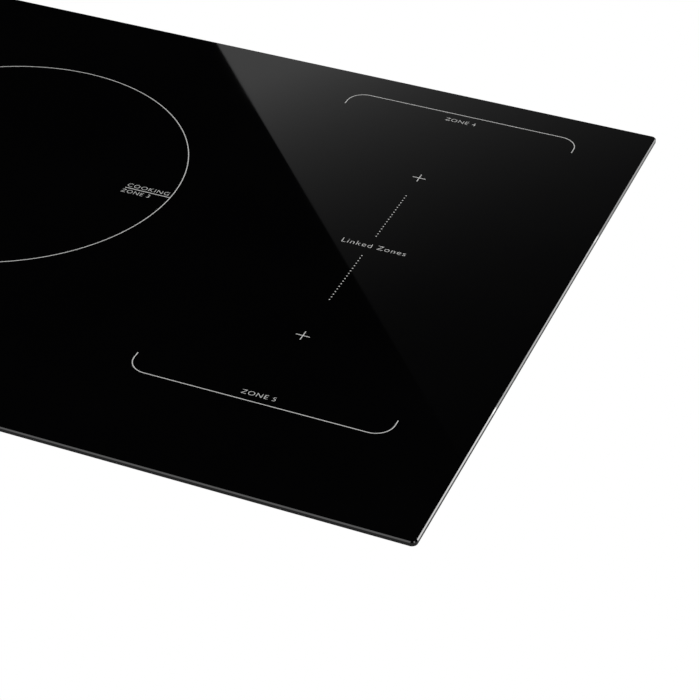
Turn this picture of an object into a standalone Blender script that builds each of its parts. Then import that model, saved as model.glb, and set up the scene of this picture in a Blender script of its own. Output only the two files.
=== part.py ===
"""Built-in electric induction hob: a black glass top, five coils, two of its zones linked in pairs.

Units are metres and +Z is up. The origin lies in the middle of the casing's underside, below the
middle of the glass. -Y is the side of the cook, where the touch controls are.
"""

import math

import bmesh
import bpy
from mathutils import Matrix, Vector

# ---------------------------------------------------------------- driving dimensions
GAP = 0.0003                      # clearance between two pieces that touch
RUNNING_GAP = 0.0010              # clearance around what turns

PLATE_LENGTH = 0.894              # glass plate, left to right
PLATE_DEPTH = 0.520               # glass plate, front to back
PLATE_THICKNESS = 0.004
PLATE_CORNER_RADIUS = 0.004
PLATE_ARRIS = 0.001               # polished chamfer round both faces
BODY_HEIGHT = 0.047               # underside of the glass above the base

SEAL_WIDTH = 0.008
SEAL_THICKNESS = 0.002
SEAL_INSET = 0.004                # from the glass edge to the seal
ADHESIVE_WIDTH = 0.008
ADHESIVE_THICKNESS = 0.001

SIDE_OVERHANG = 0.047             # glass past the casing, left and right
END_OVERHANG = 0.022              # glass past the casing, front and back
TRAY_SHEET = 0.001
TRAY_CORNER_RADIUS = 0.006
STEP_DEPTH = 0.034                # shallow front part, over the cabinet's front rail
STEP_BELOW_SKIRT = 0.0022         # its floor below the frame's skirt

SLOT_BASE = 0.009                 # underside of the air slots above the base
SLOT_HEIGHT = 0.014
SLOT_WIDTH = 0.003                # too narrow for a finger
WALL_SLOT_PITCH = 0.014
FRONT_SLOTS = 40
BACK_SLOTS = 30
SIDE_SLOTS = 8
SIDE_SLOT_PITCH = 0.016
GRILLE_SLOTS = 7                  # below each blower
GRILLE_PITCH = 0.0078

FRAME_SHEET = 0.0012
FRAME_LIP = 0.003                 # frame flange past the tray's walls
FLANGE_WIDTH = 0.012
SKIRT_HEIGHT = 0.012

SCREW_HOLE_CLEARANCE = 0.0003     # round a screw's shank
CASING_SCREW_RADIUS = 0.0015
CASING_SCREW_HEAD_RADIUS = 0.0034
CASING_SCREW_HEAD_HEIGHT = 0.0020
CASING_SCREW_LENGTH = 0.008
CASING_SCREW_SPACING = 0.200      # between the two screws of a side

CLAMP_FROM_FRONT = 0.054          # pocket's middle behind the deep tray's front wall
CLAMP_FROM_BACK = 0.088           # pocket's middle in front of the back wall
POCKET_CLEARANCE = 0.007          # round the parked clamp
POCKET_HEADROOM = 0.0015          # above the clamp's tip
CLAMP_REACH = 0.050               # pivot to tip
CLAMP_WIDTH = 0.016
CLAMP_SHEET = 0.002
CLAMP_TIP_HEIGHT = 0.008
CLAMP_SCREW_RADIUS = 0.002
CLAMP_SCREW_HEAD_RADIUS = 0.0045
CLAMP_SCREW_HEAD_HEIGHT = 0.0027
CLAMP_SCREW_CLEARANCE_BELOW = 0.0015   # screw head above the base
CLAMP_SCREW_LENGTH = 0.020

LINKED_COIL_RADIUS = 0.084
LINKED_COIL_GAP = 0.026           # between the carriers of a linked pair
ZONE_PAST_COIL_X = 0.010          # a linked zone's mark past its windings, left and right
ZONE_PAST_COIL_Y = 0.01675        # and front and back
ZONE_SIDE_MARGIN = 0.00625        # zone to the tray's side wall
ZONE_BACK_MARGIN = 0.0075         # zone to the tray's back wall
CENTRE_COIL_RADIUS = 0.135
WINDING_HOLE_RADIUS = 0.022
WINDING_THICKNESS = 0.005
CARRIER_RIM = 0.003               # carrier past the winding
CARRIER_THICKNESS = 0.005
CARRIER_HOLE_RADIUS = 0.008
MICA_MARGIN = 0.002               # mica past the winding
MICA_THICKNESS = 0.0006
SENSOR_RADIUS = 0.007
SENSOR_FOOT_RADIUS = 0.011
SENSOR_FOOT_HEIGHT = 0.001

COIL_PLATE_THICKNESS = 0.0015
COIL_PLATE_CORNER_RADIUS = 0.008
SIDE_PLATE_MARGIN = 0.0045        # plate inside the linked zone's outline
CENTRE_PLATE_RIM = 0.013          # plate past the centre winding
PLATE_TRAVEL = 0.003              # the coil plates' sprung stroke
SPRING_LENGTH = 0.050
SPRING_WIDTH = 0.014
SPRING_SHEET = 0.0008
SPRING_FOOT = 0.006
SPRING_FROM_END = 0.0223          # spring's middle from the end of a side plate
CENTRE_SPRING_FROM_END = 0.013

ELECTRONICS_INSET = 0.075         # power boards and blowers towards the middle from the zones
BOARD_LENGTH = 0.250
BOARD_TO_SPRING = 0.012           # power board behind the front spring
BOARD_TO_FAN = 0.022              # and in front of the blower
BOARD_THICKNESS = 0.0016
BOARD_STANDOFF = 0.005
BOARD_FOOT_RADIUS = 0.004
BOARD_FOOT_INSET = 0.010
FILTER_BOARD_WIDTH = 0.110
FILTER_BOARD_DEPTH = 0.200
FILTER_BOARD_BEHIND = 0.015
SINK_WIDTH = 0.070
SINK_FROM_BOARD_END = 0.015
SINK_HEADROOM = 0.0048            # below the pressed-down coil plates
SINK_BASE = 0.004
SINK_FINS = 11
SINK_FIN_THICKNESS = 0.0014

FAN_TO_SPRING = 0.024             # blower in front of the rear spring
FAN_HOUSING_SIDE = 0.096
FAN_HEADROOM = 0.0074             # below the pressed-down coil plates
FAN_WALL = 0.0015
FAN_CORNER_RADIUS = 0.005
FAN_OUTLET_WIDTH = 0.070
FAN_INLET_RADIUS = 0.030
IMPELLER_RADIUS = 0.038
IMPELLER_BLADES = 13
IMPELLER_BLADE_THICKNESS = 0.0012
IMPELLER_BLADE_LENGTH = 0.014
IMPELLER_DISC = 0.0015
IMPELLER_HUB_RADIUS = 0.014
MOTOR_RADIUS = 0.011
MOTOR_DEPTH = 0.008

CONTROL_LENGTH = 0.320
CONTROL_DEPTH = 0.050
CONTROL_HOLDER_WALL = 0.0015
CONTROL_HOLDER_RADIUS = 0.002
CONTROL_FROM_FLANGE = 0.002
CONTROL_BOARD_MARGIN = 0.002
CONTROL_BOARD_BELOW_GLASS = 0.0006

TERMINAL_WIDTH = 0.056
TERMINAL_HEADROOM = 0.0017        # below the pressed-down coil plates
TERMINAL_DEPTH = 0.032
TERMINAL_BASE = 0.007             # underside of the housing above the base
TERMINAL_FROM_SIDE = 0.010        # housing to the tray's side wall
TERMINAL_WALL = 0.0015
TERMINAL_FLANGE = 0.004           # flange past the housing
TERMINAL_FLANGE_THICKNESS = 0.0015
TERMINAL_WAYS = 5
TERMINAL_BLOCK_HEADROOM = 0.0047
TERMINAL_BLOCK_DEPTH = 0.020
COVER_THICKNESS = 0.002
COVER_BARREL_RADIUS = 0.0020
COVER_PIN_RADIUS = 0.0011
EAR_THICKNESS = 0.003
EAR_RADIUS = 0.0024
CABLE_INLET_RADIUS = 0.0065

ROUND_SIDES = 32                  # sides of a large turned piece
SMALL_SIDES = 12                  # sides of a screw or a pin
CORNER_SEGMENTS = 3

# ---------------------------------------------------------------- places worked out from them
plate_half_x = PLATE_LENGTH / 2
plate_half_y = PLATE_DEPTH / 2
tray_half_x = plate_half_x - SIDE_OVERHANG
tray_half_y = plate_half_y - END_OVERHANG
deep_front_y = -tray_half_y + STEP_DEPTH

glass_bottom = BODY_HEIGHT
adhesive_top = glass_bottom - GAP
flange_top = adhesive_top - ADHESIVE_THICKNESS - GAP
flange_bottom = flange_top - FRAME_SHEET
tray_rim = flange_bottom - GAP
skirt_bottom = flange_bottom - SKIRT_HEIGHT
flange_half_x = tray_half_x + FRAME_LIP
flange_half_y = tray_half_y + FRAME_LIP
skirt_inset = TRAY_SHEET + GAP                    # tray's outside to the skirt's outside
floor_top = TRAY_SHEET
step_height = skirt_bottom - STEP_BELOW_SKIRT - TRAY_SHEET

mica_bottom = glass_bottom - GAP - MICA_THICKNESS
winding_bottom = mica_bottom - GAP - WINDING_THICKNESS
carrier_top = winding_bottom - GAP
carrier_bottom = carrier_top - CARRIER_THICKNESS
coil_plate_top = carrier_bottom - GAP
coil_plate_bottom = coil_plate_top - COIL_PLATE_THICKNESS
pressed_down = coil_plate_bottom - PLATE_TRAVEL

clamp_arm_bottom = CLAMP_SCREW_CLEARANCE_BELOW + CLAMP_SCREW_HEAD_HEIGHT + GAP
clamp_arm_top = clamp_arm_bottom + CLAMP_SHEET
clamp_tip_top = clamp_arm_top + CLAMP_TIP_HEIGHT
pocket_length = CLAMP_REACH + CLAMP_WIDTH / 2 + 2 * POCKET_CLEARANCE
pocket_width = CLAMP_WIDTH + 2 * POCKET_CLEARANCE
pocket_height = clamp_tip_top + POCKET_HEADROOM

linked_coil_pitch = 2 * (LINKED_COIL_RADIUS + CARRIER_RIM) + LINKED_COIL_GAP
zone_width = 2 * (LINKED_COIL_RADIUS + ZONE_PAST_COIL_X)
zone_length = linked_coil_pitch + 2 * (LINKED_COIL_RADIUS + ZONE_PAST_COIL_Y)
zone_x = tray_half_x - ZONE_SIDE_MARGIN - zone_width / 2
zone_y = tray_half_y - ZONE_BACK_MARGIN - zone_length / 2
side_plate_half_x = zone_width / 2 - SIDE_PLATE_MARGIN
side_plate_half_y = zone_length / 2 - SIDE_PLATE_MARGIN
centre_plate_half = CENTRE_COIL_RADIUS + CENTRE_PLATE_RIM

side_spring_y = side_plate_half_y - SPRING_FROM_END       # from the zones' middle
centre_spring_y = centre_plate_half - CENTRE_SPRING_FROM_END

board_bottom = floor_top + GAP + BOARD_STANDOFF
board_top = board_bottom + BOARD_THICKNESS
electronics_x = zone_x - ELECTRONICS_INSET
fan_y = zone_y + side_spring_y - SPRING_WIDTH / 2 - FAN_TO_SPRING - FAN_HOUSING_SIDE / 2
board_front_y = zone_y - side_spring_y + SPRING_WIDTH / 2 + BOARD_TO_SPRING
board_back_y = fan_y - FAN_HOUSING_SIDE / 2 - BOARD_TO_FAN
board_y = (board_front_y + board_back_y) / 2
board_depth = board_back_y - board_front_y
sink_length = board_depth - 2 * SINK_FROM_BOARD_END
fan_bottom = floor_top + GAP
fan_top = pressed_down - FAN_HEADROOM
sink_height = pressed_down - SINK_HEADROOM - board_top - GAP
terminal_height = pressed_down - TERMINAL_HEADROOM - TERMINAL_BASE

SIDES = {"left": -1, "right": 1}
ENDS = {"front": -1, "rear": 1}
COILS = {
    f"{side}_{end}": (sx * zone_x, zone_y + sy * linked_coil_pitch / 2, LINKED_COIL_RADIUS)
    for side, sx in SIDES.items()
    for end, sy in ENDS.items()
}
COILS["centre"] = (0.0, zone_y, CENTRE_COIL_RADIUS)

# ---------------------------------------------------------------- materials
FINISHES = {                      # base colour, roughness, metallic
    "black_glass": ((0.004, 0.004, 0.005), 0.05, 0.0),
    "seal_foam": ((0.03, 0.03, 0.03), 0.9, 0.0),
    "silicone": ((0.05, 0.05, 0.05), 0.6, 0.0),
    "galvanised_steel": ((0.55, 0.56, 0.57), 0.4, 1.0),
    "frame_steel": ((0.45, 0.46, 0.47), 0.45, 1.0),
    "zinc_steel": ((0.65, 0.65, 0.62), 0.3, 1.0),
    "spring_steel": ((0.35, 0.36, 0.38), 0.3, 1.0),
    "coil_aluminium": ((0.80, 0.80, 0.80), 0.35, 1.0),
    "sink_aluminium": ((0.75, 0.75, 0.76), 0.4, 1.0),
    "litz_copper": ((0.72, 0.36, 0.18), 0.4, 0.8),
    "mica": ((0.62, 0.57, 0.47), 0.5, 0.0),
    "carrier_plastic": ((0.06, 0.06, 0.065), 0.5, 0.0),
    "sensor_silicone": ((0.75, 0.73, 0.70), 0.6, 0.0),
    "circuit_board": ((0.03, 0.16, 0.07), 0.4, 0.0),
    "fan_plastic": ((0.035, 0.035, 0.035), 0.45, 0.0),
    "terminal_plastic": ((0.78, 0.78, 0.76), 0.5, 0.0),
    "cover_plastic": ((0.07, 0.07, 0.075), 0.5, 0.0),
}


def finish(name):
    """The material of one finish, made the first time that a piece needs it."""
    found = bpy.data.materials.get(name)
    if found:
        return found
    colour, roughness, metallic = FINISHES[name]
    made = bpy.data.materials.new(name)
    made.use_nodes = True
    shader = made.node_tree.nodes["Principled BSDF"]
    shader.inputs["Base Color"].default_value = (*colour, 1.0)
    shader.inputs["Roughness"].default_value = roughness
    shader.inputs["Metallic"].default_value = metallic
    return made


# ---------------------------------------------------------------- modelling helpers
def own_material(node, finish_name):
    """A copy of a finish that belongs to one piece."""
    copy = finish(finish_name).copy()
    copy.name = f"{node}_{finish_name}"
    return copy


def place(name, data, finish_name, at=(0.0, 0.0, 0.0)):
    """Link a new piece of the hob into the scene."""
    piece = bpy.data.objects.new(name, data)
    piece.location = at
    data.materials.append(own_material(name, finish_name))
    hob_collection.objects.link(piece)
    return piece


def mesh_of(name, bm, smooth_angle=None):
    """Turn a bmesh into a mesh, with its round sides shaded smooth where an angle is given."""
    mesh = bpy.data.meshes.new(name)
    bm.to_mesh(mesh)
    bm.free()
    if smooth_angle is not None:
        mesh.shade_smooth()
        mesh.set_sharp_from_angle(angle=smooth_angle)
    return mesh


def add_block(bm, low, high, radius=0.0, along=2, segments=CORNER_SEGMENTS, rounded=None):
    """Add a box between two corners. The edges along one axis are rounded to a radius.

    rounded picks edges by their middle point, where only some of them are round."""
    low, high = Vector(low), Vector(high)
    move = Matrix.Translation((low + high) / 2) @ Matrix.Diagonal((*(high - low), 1.0))
    corners = bmesh.ops.create_cube(bm, size=1.0, matrix=move)["verts"]
    if radius:
        edges = {edge for corner in corners for edge in corner.link_edges}
        chosen = [
            edge
            for edge in edges
            if abs((edge.verts[0].co - edge.verts[1].co).normalized()[along]) > 0.99
            and (rounded is None or rounded((edge.verts[0].co + edge.verts[1].co) / 2))
        ]
        bmesh.ops.bevel(
            bm, geom=chosen, offset=radius, segments=segments, profile=0.5, affect="EDGES"
        )


def add_cylinder(bm, centre, radius, length, axis="Z", sides=SMALL_SIDES):
    """Add a closed cylinder about its centre, along one of the axes."""
    turn = {
        "X": Matrix.Rotation(math.pi / 2, 4, "Y"),
        "Y": Matrix.Rotation(math.pi / 2, 4, "X"),
        "Z": Matrix(),
    }
    bmesh.ops.create_cone(
        bm,
        cap_ends=True,
        segments=sides,
        radius1=radius,
        radius2=radius,
        depth=length,
        matrix=Matrix.Translation(centre) @ turn[axis],
    )


def block(name, low, high, finish_name, at=(0.0, 0.0, 0.0), **rounding):
    """A piece that starts as one box."""
    bm = bmesh.new()
    add_block(bm, low, high, **rounding)
    return place(name, mesh_of(name, bm), finish_name, at)


def combine(piece, operation, bm, at=None):
    """Cut a tool shape from a piece, or weld it on, with a Boolean."""
    name = f"{piece.name}_{operation.lower()}_{len(piece.modifiers)}"
    tool = bpy.data.objects.new(name, mesh_of(name, bm))
    tool.location = piece.location if at is None else at
    tool.hide_render = True
    tool.display_type = "WIRE"
    tool_collection.objects.link(tool)
    change = piece.modifiers.new(name, "BOOLEAN")
    change.operation = operation
    change.solver = "EXACT"
    change.object = tool
    return tool


def cut_block(piece, low, high, **rounding):
    bm = bmesh.new()
    add_block(bm, low, high, **rounding)
    return combine(piece, "DIFFERENCE", bm)


def turned(name, profile, sides, finish_name, at=(0.0, 0.0, 0.0), closed=False):
    """A turned piece: a profile at +X, top to bottom on its outer side, swept about Z."""
    bm = bmesh.new()
    corners = [bm.verts.new((radius, 0.0, height)) for radius, height in profile]
    for first, second in zip(corners, corners[1:]):
        bm.edges.new((first, second))
    if closed:
        bm.edges.new((corners[-1], corners[0]))
    piece = place(name, mesh_of(name, bm), finish_name, at)
    sweep = piece.modifiers.new("Turn", "SCREW")
    sweep.axis = "Z"
    sweep.steps = sides
    sweep.render_steps = sides
    sweep.use_merge_vertices = True
    sweep.merge_threshold = 0.00001
    sweep.use_smooth_shade = False
    return piece


def ring_profile(inner, outer, bottom, top):
    """The closed section of a flat ring."""
    return [(outer, top), (outer, bottom), (inner, bottom), (inner, top)]


def outline_extrusion(name, outline, length, finish_name, at):
    """A flat outline in the X-Z plane, made as thick as length along Y."""
    curve = bpy.data.curves.new(name, "CURVE")
    curve.dimensions = "2D"
    curve.fill_mode = "BOTH"
    curve.extrude = length / 2
    spline = curve.splines.new("POLY")
    spline.points.add(len(outline) - 1)
    for point, (x, z) in zip(spline.points, outline):
        point.co = (x, z, 0.0, 1.0)
    spline.use_cyclic_u = True
    piece = place(name, curve, finish_name, at)
    piece.rotation_euler = (math.pi / 2, 0.0, 0.0)
    return piece


def evenly(count, pitch):
    """Places of a row of features, centred on 0."""
    return [(i - (count - 1) / 2) * pitch for i in range(count)]


# ---------------------------------------------------------------- glass, seal and frame
def make_glass_plate():
    plate = block(
        "glass_plate",
        (-plate_half_x, -plate_half_y, glass_bottom),
        (plate_half_x, plate_half_y, glass_bottom + PLATE_THICKNESS),
        "black_glass",
        radius=PLATE_CORNER_RADIUS,
        segments=5,
    )
    arris = plate.modifiers.new("Arris", "BEVEL")
    arris.width = PLATE_ARRIS
    arris.segments = 1
    arris.limit_method = "ANGLE"
    arris.angle_limit = math.radians(40)


def make_ring(name, half_x, half_y, width, bottom, top, corner, finish_name):
    """A flat rectangular ring with rounded corners."""
    ring = block(
        name, (-half_x, -half_y, bottom), (half_x, half_y, top), finish_name, radius=corner
    )
    cut_block(
        ring,
        (-half_x + width, -half_y + width, bottom - width),
        (half_x - width, half_y - width, top + width),
    )
    return ring


def make_seal_and_adhesive():
    make_ring(
        "worktop_seal",
        plate_half_x - SEAL_INSET,
        plate_half_y - SEAL_INSET,
        SEAL_WIDTH,
        glass_bottom - GAP - SEAL_THICKNESS,
        glass_bottom - GAP,
        PLATE_CORNER_RADIUS,
        "seal_foam",
    )
    inset = (FLANGE_WIDTH - ADHESIVE_WIDTH) / 2
    make_ring(
        "glass_adhesive",
        flange_half_x - inset,
        flange_half_y - inset,
        ADHESIVE_WIDTH,
        adhesive_top - ADHESIVE_THICKNESS,
        adhesive_top,
        TRAY_CORNER_RADIUS,
        "silicone",
    )


def casing_screw_places():
    return [
        (f"{side}_{end}", sx, sy * CASING_SCREW_SPACING / 2, (skirt_bottom + flange_bottom) / 2)
        for side, sx in SIDES.items()
        for end, sy in ENDS.items()
    ]


def casing_screw_holes():
    """Clearance holes for the four side screws, through the tray and the frame's skirt."""
    bm = bmesh.new()
    for _, sx, y, z in casing_screw_places():
        add_cylinder(
            bm,
            (sx * tray_half_x, y, z),
            CASING_SCREW_RADIUS + SCREW_HOLE_CLEARANCE,
            4 * (skirt_inset + FRAME_SHEET),
            axis="X",
        )
    return bm


def make_support_frame():
    """A flange under the glass and a skirt that slips inside the tray."""
    frame = block(
        "support_frame",
        (-flange_half_x, -flange_half_y, flange_bottom),
        (flange_half_x, flange_half_y, flange_top),
        "frame_steel",
        radius=TRAY_CORNER_RADIUS,
    )
    skirt_x, skirt_y = tray_half_x - skirt_inset, tray_half_y - skirt_inset
    skirt = bmesh.new()
    add_block(
        skirt,
        (-skirt_x, -skirt_y, skirt_bottom),
        (skirt_x, skirt_y, (flange_bottom + flange_top) / 2),
        radius=TRAY_CORNER_RADIUS - skirt_inset,
    )
    combine(frame, "UNION", skirt)
    cut_block(
        frame,
        (-skirt_x + FRAME_SHEET, -skirt_y + FRAME_SHEET, skirt_bottom - SKIRT_HEIGHT),
        (skirt_x - FRAME_SHEET, skirt_y - FRAME_SHEET, flange_bottom),
    )
    cut_block(
        frame,
        (-flange_half_x + FLANGE_WIDTH, -flange_half_y + FLANGE_WIDTH, skirt_bottom),
        (flange_half_x - FLANGE_WIDTH, flange_half_y - FLANGE_WIDTH, flange_top + FLANGE_WIDTH),
    )
    combine(frame, "DIFFERENCE", casing_screw_holes())


# ---------------------------------------------------------------- casing tray and its clamps
def clamp_pockets():
    """Name, side, pointing direction and middle of the four clamp pockets."""
    middles = {
        "front": (1, deep_front_y + CLAMP_FROM_FRONT),
        "rear": (-1, tray_half_y - CLAMP_FROM_BACK),
    }
    return [
        (f"{end}_{side}", sx, points, y)
        for end, (points, y) in middles.items()
        for side, sx in SIDES.items()
    ]


def hollow_shapes(wall):
    """What the tray's block loses outside: the front step and the four clamp pockets.

    wall is 0 for the tray's outside, and the sheet's thickness for its inside."""
    bm = bmesh.new()
    far = PLATE_LENGTH
    add_block(bm, (-far, -far, -far), (far, deep_front_y + wall, step_height + wall))
    for _, sx, _, y in clamp_pockets():
        near, wide = sx * (tray_half_x - pocket_width - wall), sx * (tray_half_x + pocket_width)
        half = pocket_length / 2 + wall
        add_block(
            bm,
            (min(near, wide), y - half, -pocket_height),
            (max(near, wide), y + half, pocket_height + wall),
        )
    return bm


def tray_slots():
    """Air slots: out at the step's wall, the sides and the back, in below the two blowers."""
    bm = bmesh.new()
    through = 2 * TRAY_SHEET
    low, high = SLOT_BASE, SLOT_BASE + SLOT_HEIGHT
    half = SLOT_WIDTH / 2
    for wall_y, count in ((deep_front_y, FRONT_SLOTS), (tray_half_y, BACK_SLOTS)):
        for x in evenly(count, WALL_SLOT_PITCH):
            add_block(bm, (x - half, wall_y - through, low), (x + half, wall_y + through, high))
    for sx in SIDES.values():
        wall_x, fan_x = sx * tray_half_x, sx * electronics_x
        for y in evenly(SIDE_SLOTS, SIDE_SLOT_PITCH):
            add_block(bm, (wall_x - through, y - half, low), (wall_x + through, y + half, high))
        for y in evenly(GRILLE_SLOTS, GRILLE_PITCH):
            reach = math.sqrt(FAN_INLET_RADIUS**2 - y**2)
            middle = fan_y + y
            add_block(
                bm,
                (fan_x - reach, middle - half, -through),
                (fan_x + reach, middle + half, through),
            )
    return bm


def clamp_screw_holes():
    bm = bmesh.new()
    for _, sx, points, y in clamp_pockets():
        add_cylinder(
            bm,
            (*clamp_pivot(sx, points, y), pocket_height),
            CLAMP_SCREW_RADIUS + SCREW_HOLE_CLEARANCE,
            8 * TRAY_SHEET,
        )
    return bm


def terminal_low_high(grow=0.0):
    """Corners of the terminal housing's body, across the tray's back wall."""
    high_x = tray_half_x - TERMINAL_FROM_SIDE
    return (
        (high_x - TERMINAL_WIDTH - grow, tray_half_y - TERMINAL_DEPTH - grow, TERMINAL_BASE - grow),
        (high_x + grow, tray_half_y + GAP, TERMINAL_BASE + terminal_height + grow),
    )


def make_casing_tray():
    """The outer block less the inner block, each less the step and the pockets."""
    tray = block(
        "casing_tray",
        (-tray_half_x, -tray_half_y, 0.0),
        (tray_half_x, tray_half_y, tray_rim),
        "galvanised_steel",
        radius=TRAY_CORNER_RADIUS,
    )
    combine(tray, "DIFFERENCE", hollow_shapes(0.0))
    inside = cut_block(
        tray,
        (-tray_half_x + TRAY_SHEET, -tray_half_y + TRAY_SHEET, floor_top),
        (tray_half_x - TRAY_SHEET, tray_half_y - TRAY_SHEET, tray_rim + TRAY_CORNER_RADIUS),
        radius=TRAY_CORNER_RADIUS - TRAY_SHEET,
    )
    combine(inside, "DIFFERENCE", hollow_shapes(TRAY_SHEET))
    combine(tray, "DIFFERENCE", tray_slots())
    combine(tray, "DIFFERENCE", casing_screw_holes())
    combine(tray, "DIFFERENCE", clamp_screw_holes())
    low, high = terminal_low_high(GAP)
    wall_reach = 2 * TRAY_SHEET
    cut_block(
        tray,
        (low[0], tray_half_y - wall_reach, low[2]),
        (high[0], tray_half_y + wall_reach, high[2]),
    )


def clamp_pivot(sx, points, y):
    """Where a clamp turns: the arm and its round end are centred along the pocket."""
    return sx * (tray_half_x - pocket_width / 2), y - points * (CLAMP_REACH - CLAMP_WIDTH / 2) / 2


def make_clamp(name, sx, points, y):
    """One swivelling clamp, parked along its pocket, and the screw that it turns on."""
    pivot = (*clamp_pivot(sx, points, y), 0.0)
    half, reach = CLAMP_WIDTH / 2, points * CLAMP_REACH
    top = clamp_arm_top
    round_end = -points * half
    arm = block(
        f"clamp_bracket_{name}",
        (-half, min(round_end, reach), clamp_arm_bottom),
        (half, max(round_end, reach), top),
        "zinc_steel",
        at=pivot,
        radius=0.9 * half,
        rounded=lambda middle: middle.y * points < 0,
    )
    inner = reach - points * CLAMP_SHEET
    tip = bmesh.new()
    add_block(
        tip,
        (-half, min(inner, reach), clamp_arm_bottom + CLAMP_SHEET / 2),
        (half, max(inner, reach), clamp_tip_top),
    )
    combine(arm, "UNION", tip)
    hole = bmesh.new()
    add_cylinder(hole, (0.0, 0.0, top), CLAMP_SCREW_RADIUS + SCREW_HOLE_CLEARANCE, 4 * CLAMP_SHEET)
    combine(arm, "DIFFERENCE", hole)
    head_bottom = CLAMP_SCREW_CLEARANCE_BELOW
    head_top = head_bottom + CLAMP_SCREW_HEAD_HEIGHT
    turned(
        f"clamp_screw_{name}",
        [
            (0.0, head_top + CLAMP_SCREW_LENGTH),
            (CLAMP_SCREW_RADIUS, head_top + CLAMP_SCREW_LENGTH),
            (CLAMP_SCREW_RADIUS, head_top),
            (CLAMP_SCREW_HEAD_RADIUS, head_top),
            (CLAMP_SCREW_HEAD_RADIUS, head_bottom),
            (0.0, head_bottom),
        ],
        SMALL_SIDES,
        "zinc_steel",
        at=pivot,
    )


def make_casing_screw(name, sx, y, z):
    """A pan-head screw along X, its head outside the tray's side wall."""
    screw = turned(
        f"casing_screw_{name}",
        [
            (0.0, CASING_SCREW_HEAD_HEIGHT),
            (CASING_SCREW_HEAD_RADIUS, CASING_SCREW_HEAD_HEIGHT),
            (CASING_SCREW_HEAD_RADIUS, 0.0),
            (CASING_SCREW_RADIUS, 0.0),
            (CASING_SCREW_RADIUS, -CASING_SCREW_LENGTH),
            (0.0, -CASING_SCREW_LENGTH),
        ],
        SMALL_SIDES,
        "zinc_steel",
        at=(sx * (tray_half_x + GAP), y, z),
    )
    screw.rotation_euler = (0.0, sx * math.pi / 2, 0.0)


# ---------------------------------------------------------------- coils and their plates
def make_coil_plate(name, x, half_x, half_y, coils):
    """An aluminium sheet that carries its coils, with a wire hole under each of them."""
    plate = block(
        f"coil_plate_{name}",
        (x - half_x, zone_y - half_y, coil_plate_bottom),
        (x + half_x, zone_y + half_y, coil_plate_top),
        "coil_aluminium",
        radius=COIL_PLATE_CORNER_RADIUS,
    )
    holes = bmesh.new()
    for coil_x, coil_y, _ in coils:
        add_cylinder(
            holes,
            (coil_x, coil_y, coil_plate_top),
            CARRIER_HOLE_RADIUS,
            4 * COIL_PLATE_THICKNESS,
        )
    combine(plate, "DIFFERENCE", holes)


def make_plate_spring(name, x, y):
    """A bowed strip of spring steel between the tray's floor and a coil plate."""
    bm = bmesh.new()
    bmesh.ops.create_grid(
        bm,
        x_segments=16,
        y_segments=1,
        size=0.5,
        matrix=Matrix.Diagonal((SPRING_LENGTH, SPRING_WIDTH, 1.0, 1.0)),
    )
    low = floor_top + GAP + SPRING_SHEET / 2
    rise = coil_plate_bottom - GAP - SPRING_SHEET / 2 - low
    bow = SPRING_LENGTH / 2 - SPRING_FOOT
    for corner in bm.verts:
        share = min(1.0, abs(corner.co.x) / bow)
        corner.co.z = low + rise * (1 + math.cos(math.pi * share)) / 2
    spring = place(f"plate_spring_{name}", mesh_of(name, bm), "spring_steel", at=(x, y, 0.0))
    wall = spring.modifiers.new("Wall", "SOLIDIFY")
    wall.thickness = SPRING_SHEET
    wall.offset = 0.0


def make_coil(name, x, y, radius):
    """Carrier, winding, mica sheet and temperature sensor of one coil."""
    turned(
        f"coil_carrier_{name}",
        ring_profile(CARRIER_HOLE_RADIUS, radius + CARRIER_RIM, carrier_bottom, carrier_top),
        ROUND_SIDES,
        "carrier_plastic",
        at=(x, y, 0.0),
        closed=True,
    )
    turned(
        f"coil_winding_{name}",
        ring_profile(WINDING_HOLE_RADIUS, radius, winding_bottom, winding_bottom + WINDING_THICKNESS),
        ROUND_SIDES,
        "litz_copper",
        at=(x, y, 0.0),
        closed=True,
    )
    half = radius + MICA_MARGIN
    mica = block(
        f"mica_sheet_{name}",
        (-half, -half, mica_bottom),
        (half, half, mica_bottom + MICA_THICKNESS),
        "mica",
        at=(x, y, 0.0),
        radius=0.35 * radius,
    )
    hole = bmesh.new()
    add_cylinder(hole, (0.0, 0.0, mica_bottom), SENSOR_RADIUS + GAP, 8 * MICA_THICKNESS)
    combine(mica, "DIFFERENCE", hole)
    foot_bottom = carrier_top + GAP
    turned(
        f"coil_sensor_{name}",
        [
            (0.0, glass_bottom - GAP),
            (SENSOR_RADIUS, glass_bottom - GAP),
            (SENSOR_RADIUS, foot_bottom + SENSOR_FOOT_HEIGHT),
            (SENSOR_FOOT_RADIUS, foot_bottom + SENSOR_FOOT_HEIGHT),
            (SENSOR_FOOT_RADIUS, foot_bottom),
            (0.0, foot_bottom),
        ],
        SMALL_SIDES,
        "sensor_silicone",
        at=(x, y, 0.0),
    )


def make_coils():
    for name, (x, y, radius) in COILS.items():
        make_coil(name, x, y, radius)
    for side, sx in SIDES.items():
        pair = [COILS[f"{side}_{end}"] for end in ENDS]
        make_coil_plate(side, sx * zone_x, side_plate_half_x, side_plate_half_y, pair)
    make_coil_plate("centre", 0.0, centre_plate_half, centre_plate_half, [COILS["centre"]])
    for end, sy in ENDS.items():
        for side, sx in SIDES.items():
            make_plate_spring(f"{side}_{end}", sx * zone_x, zone_y + sy * side_spring_y)
        make_plate_spring(f"centre_{end}", 0.0, zone_y + sy * centre_spring_y)


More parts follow.
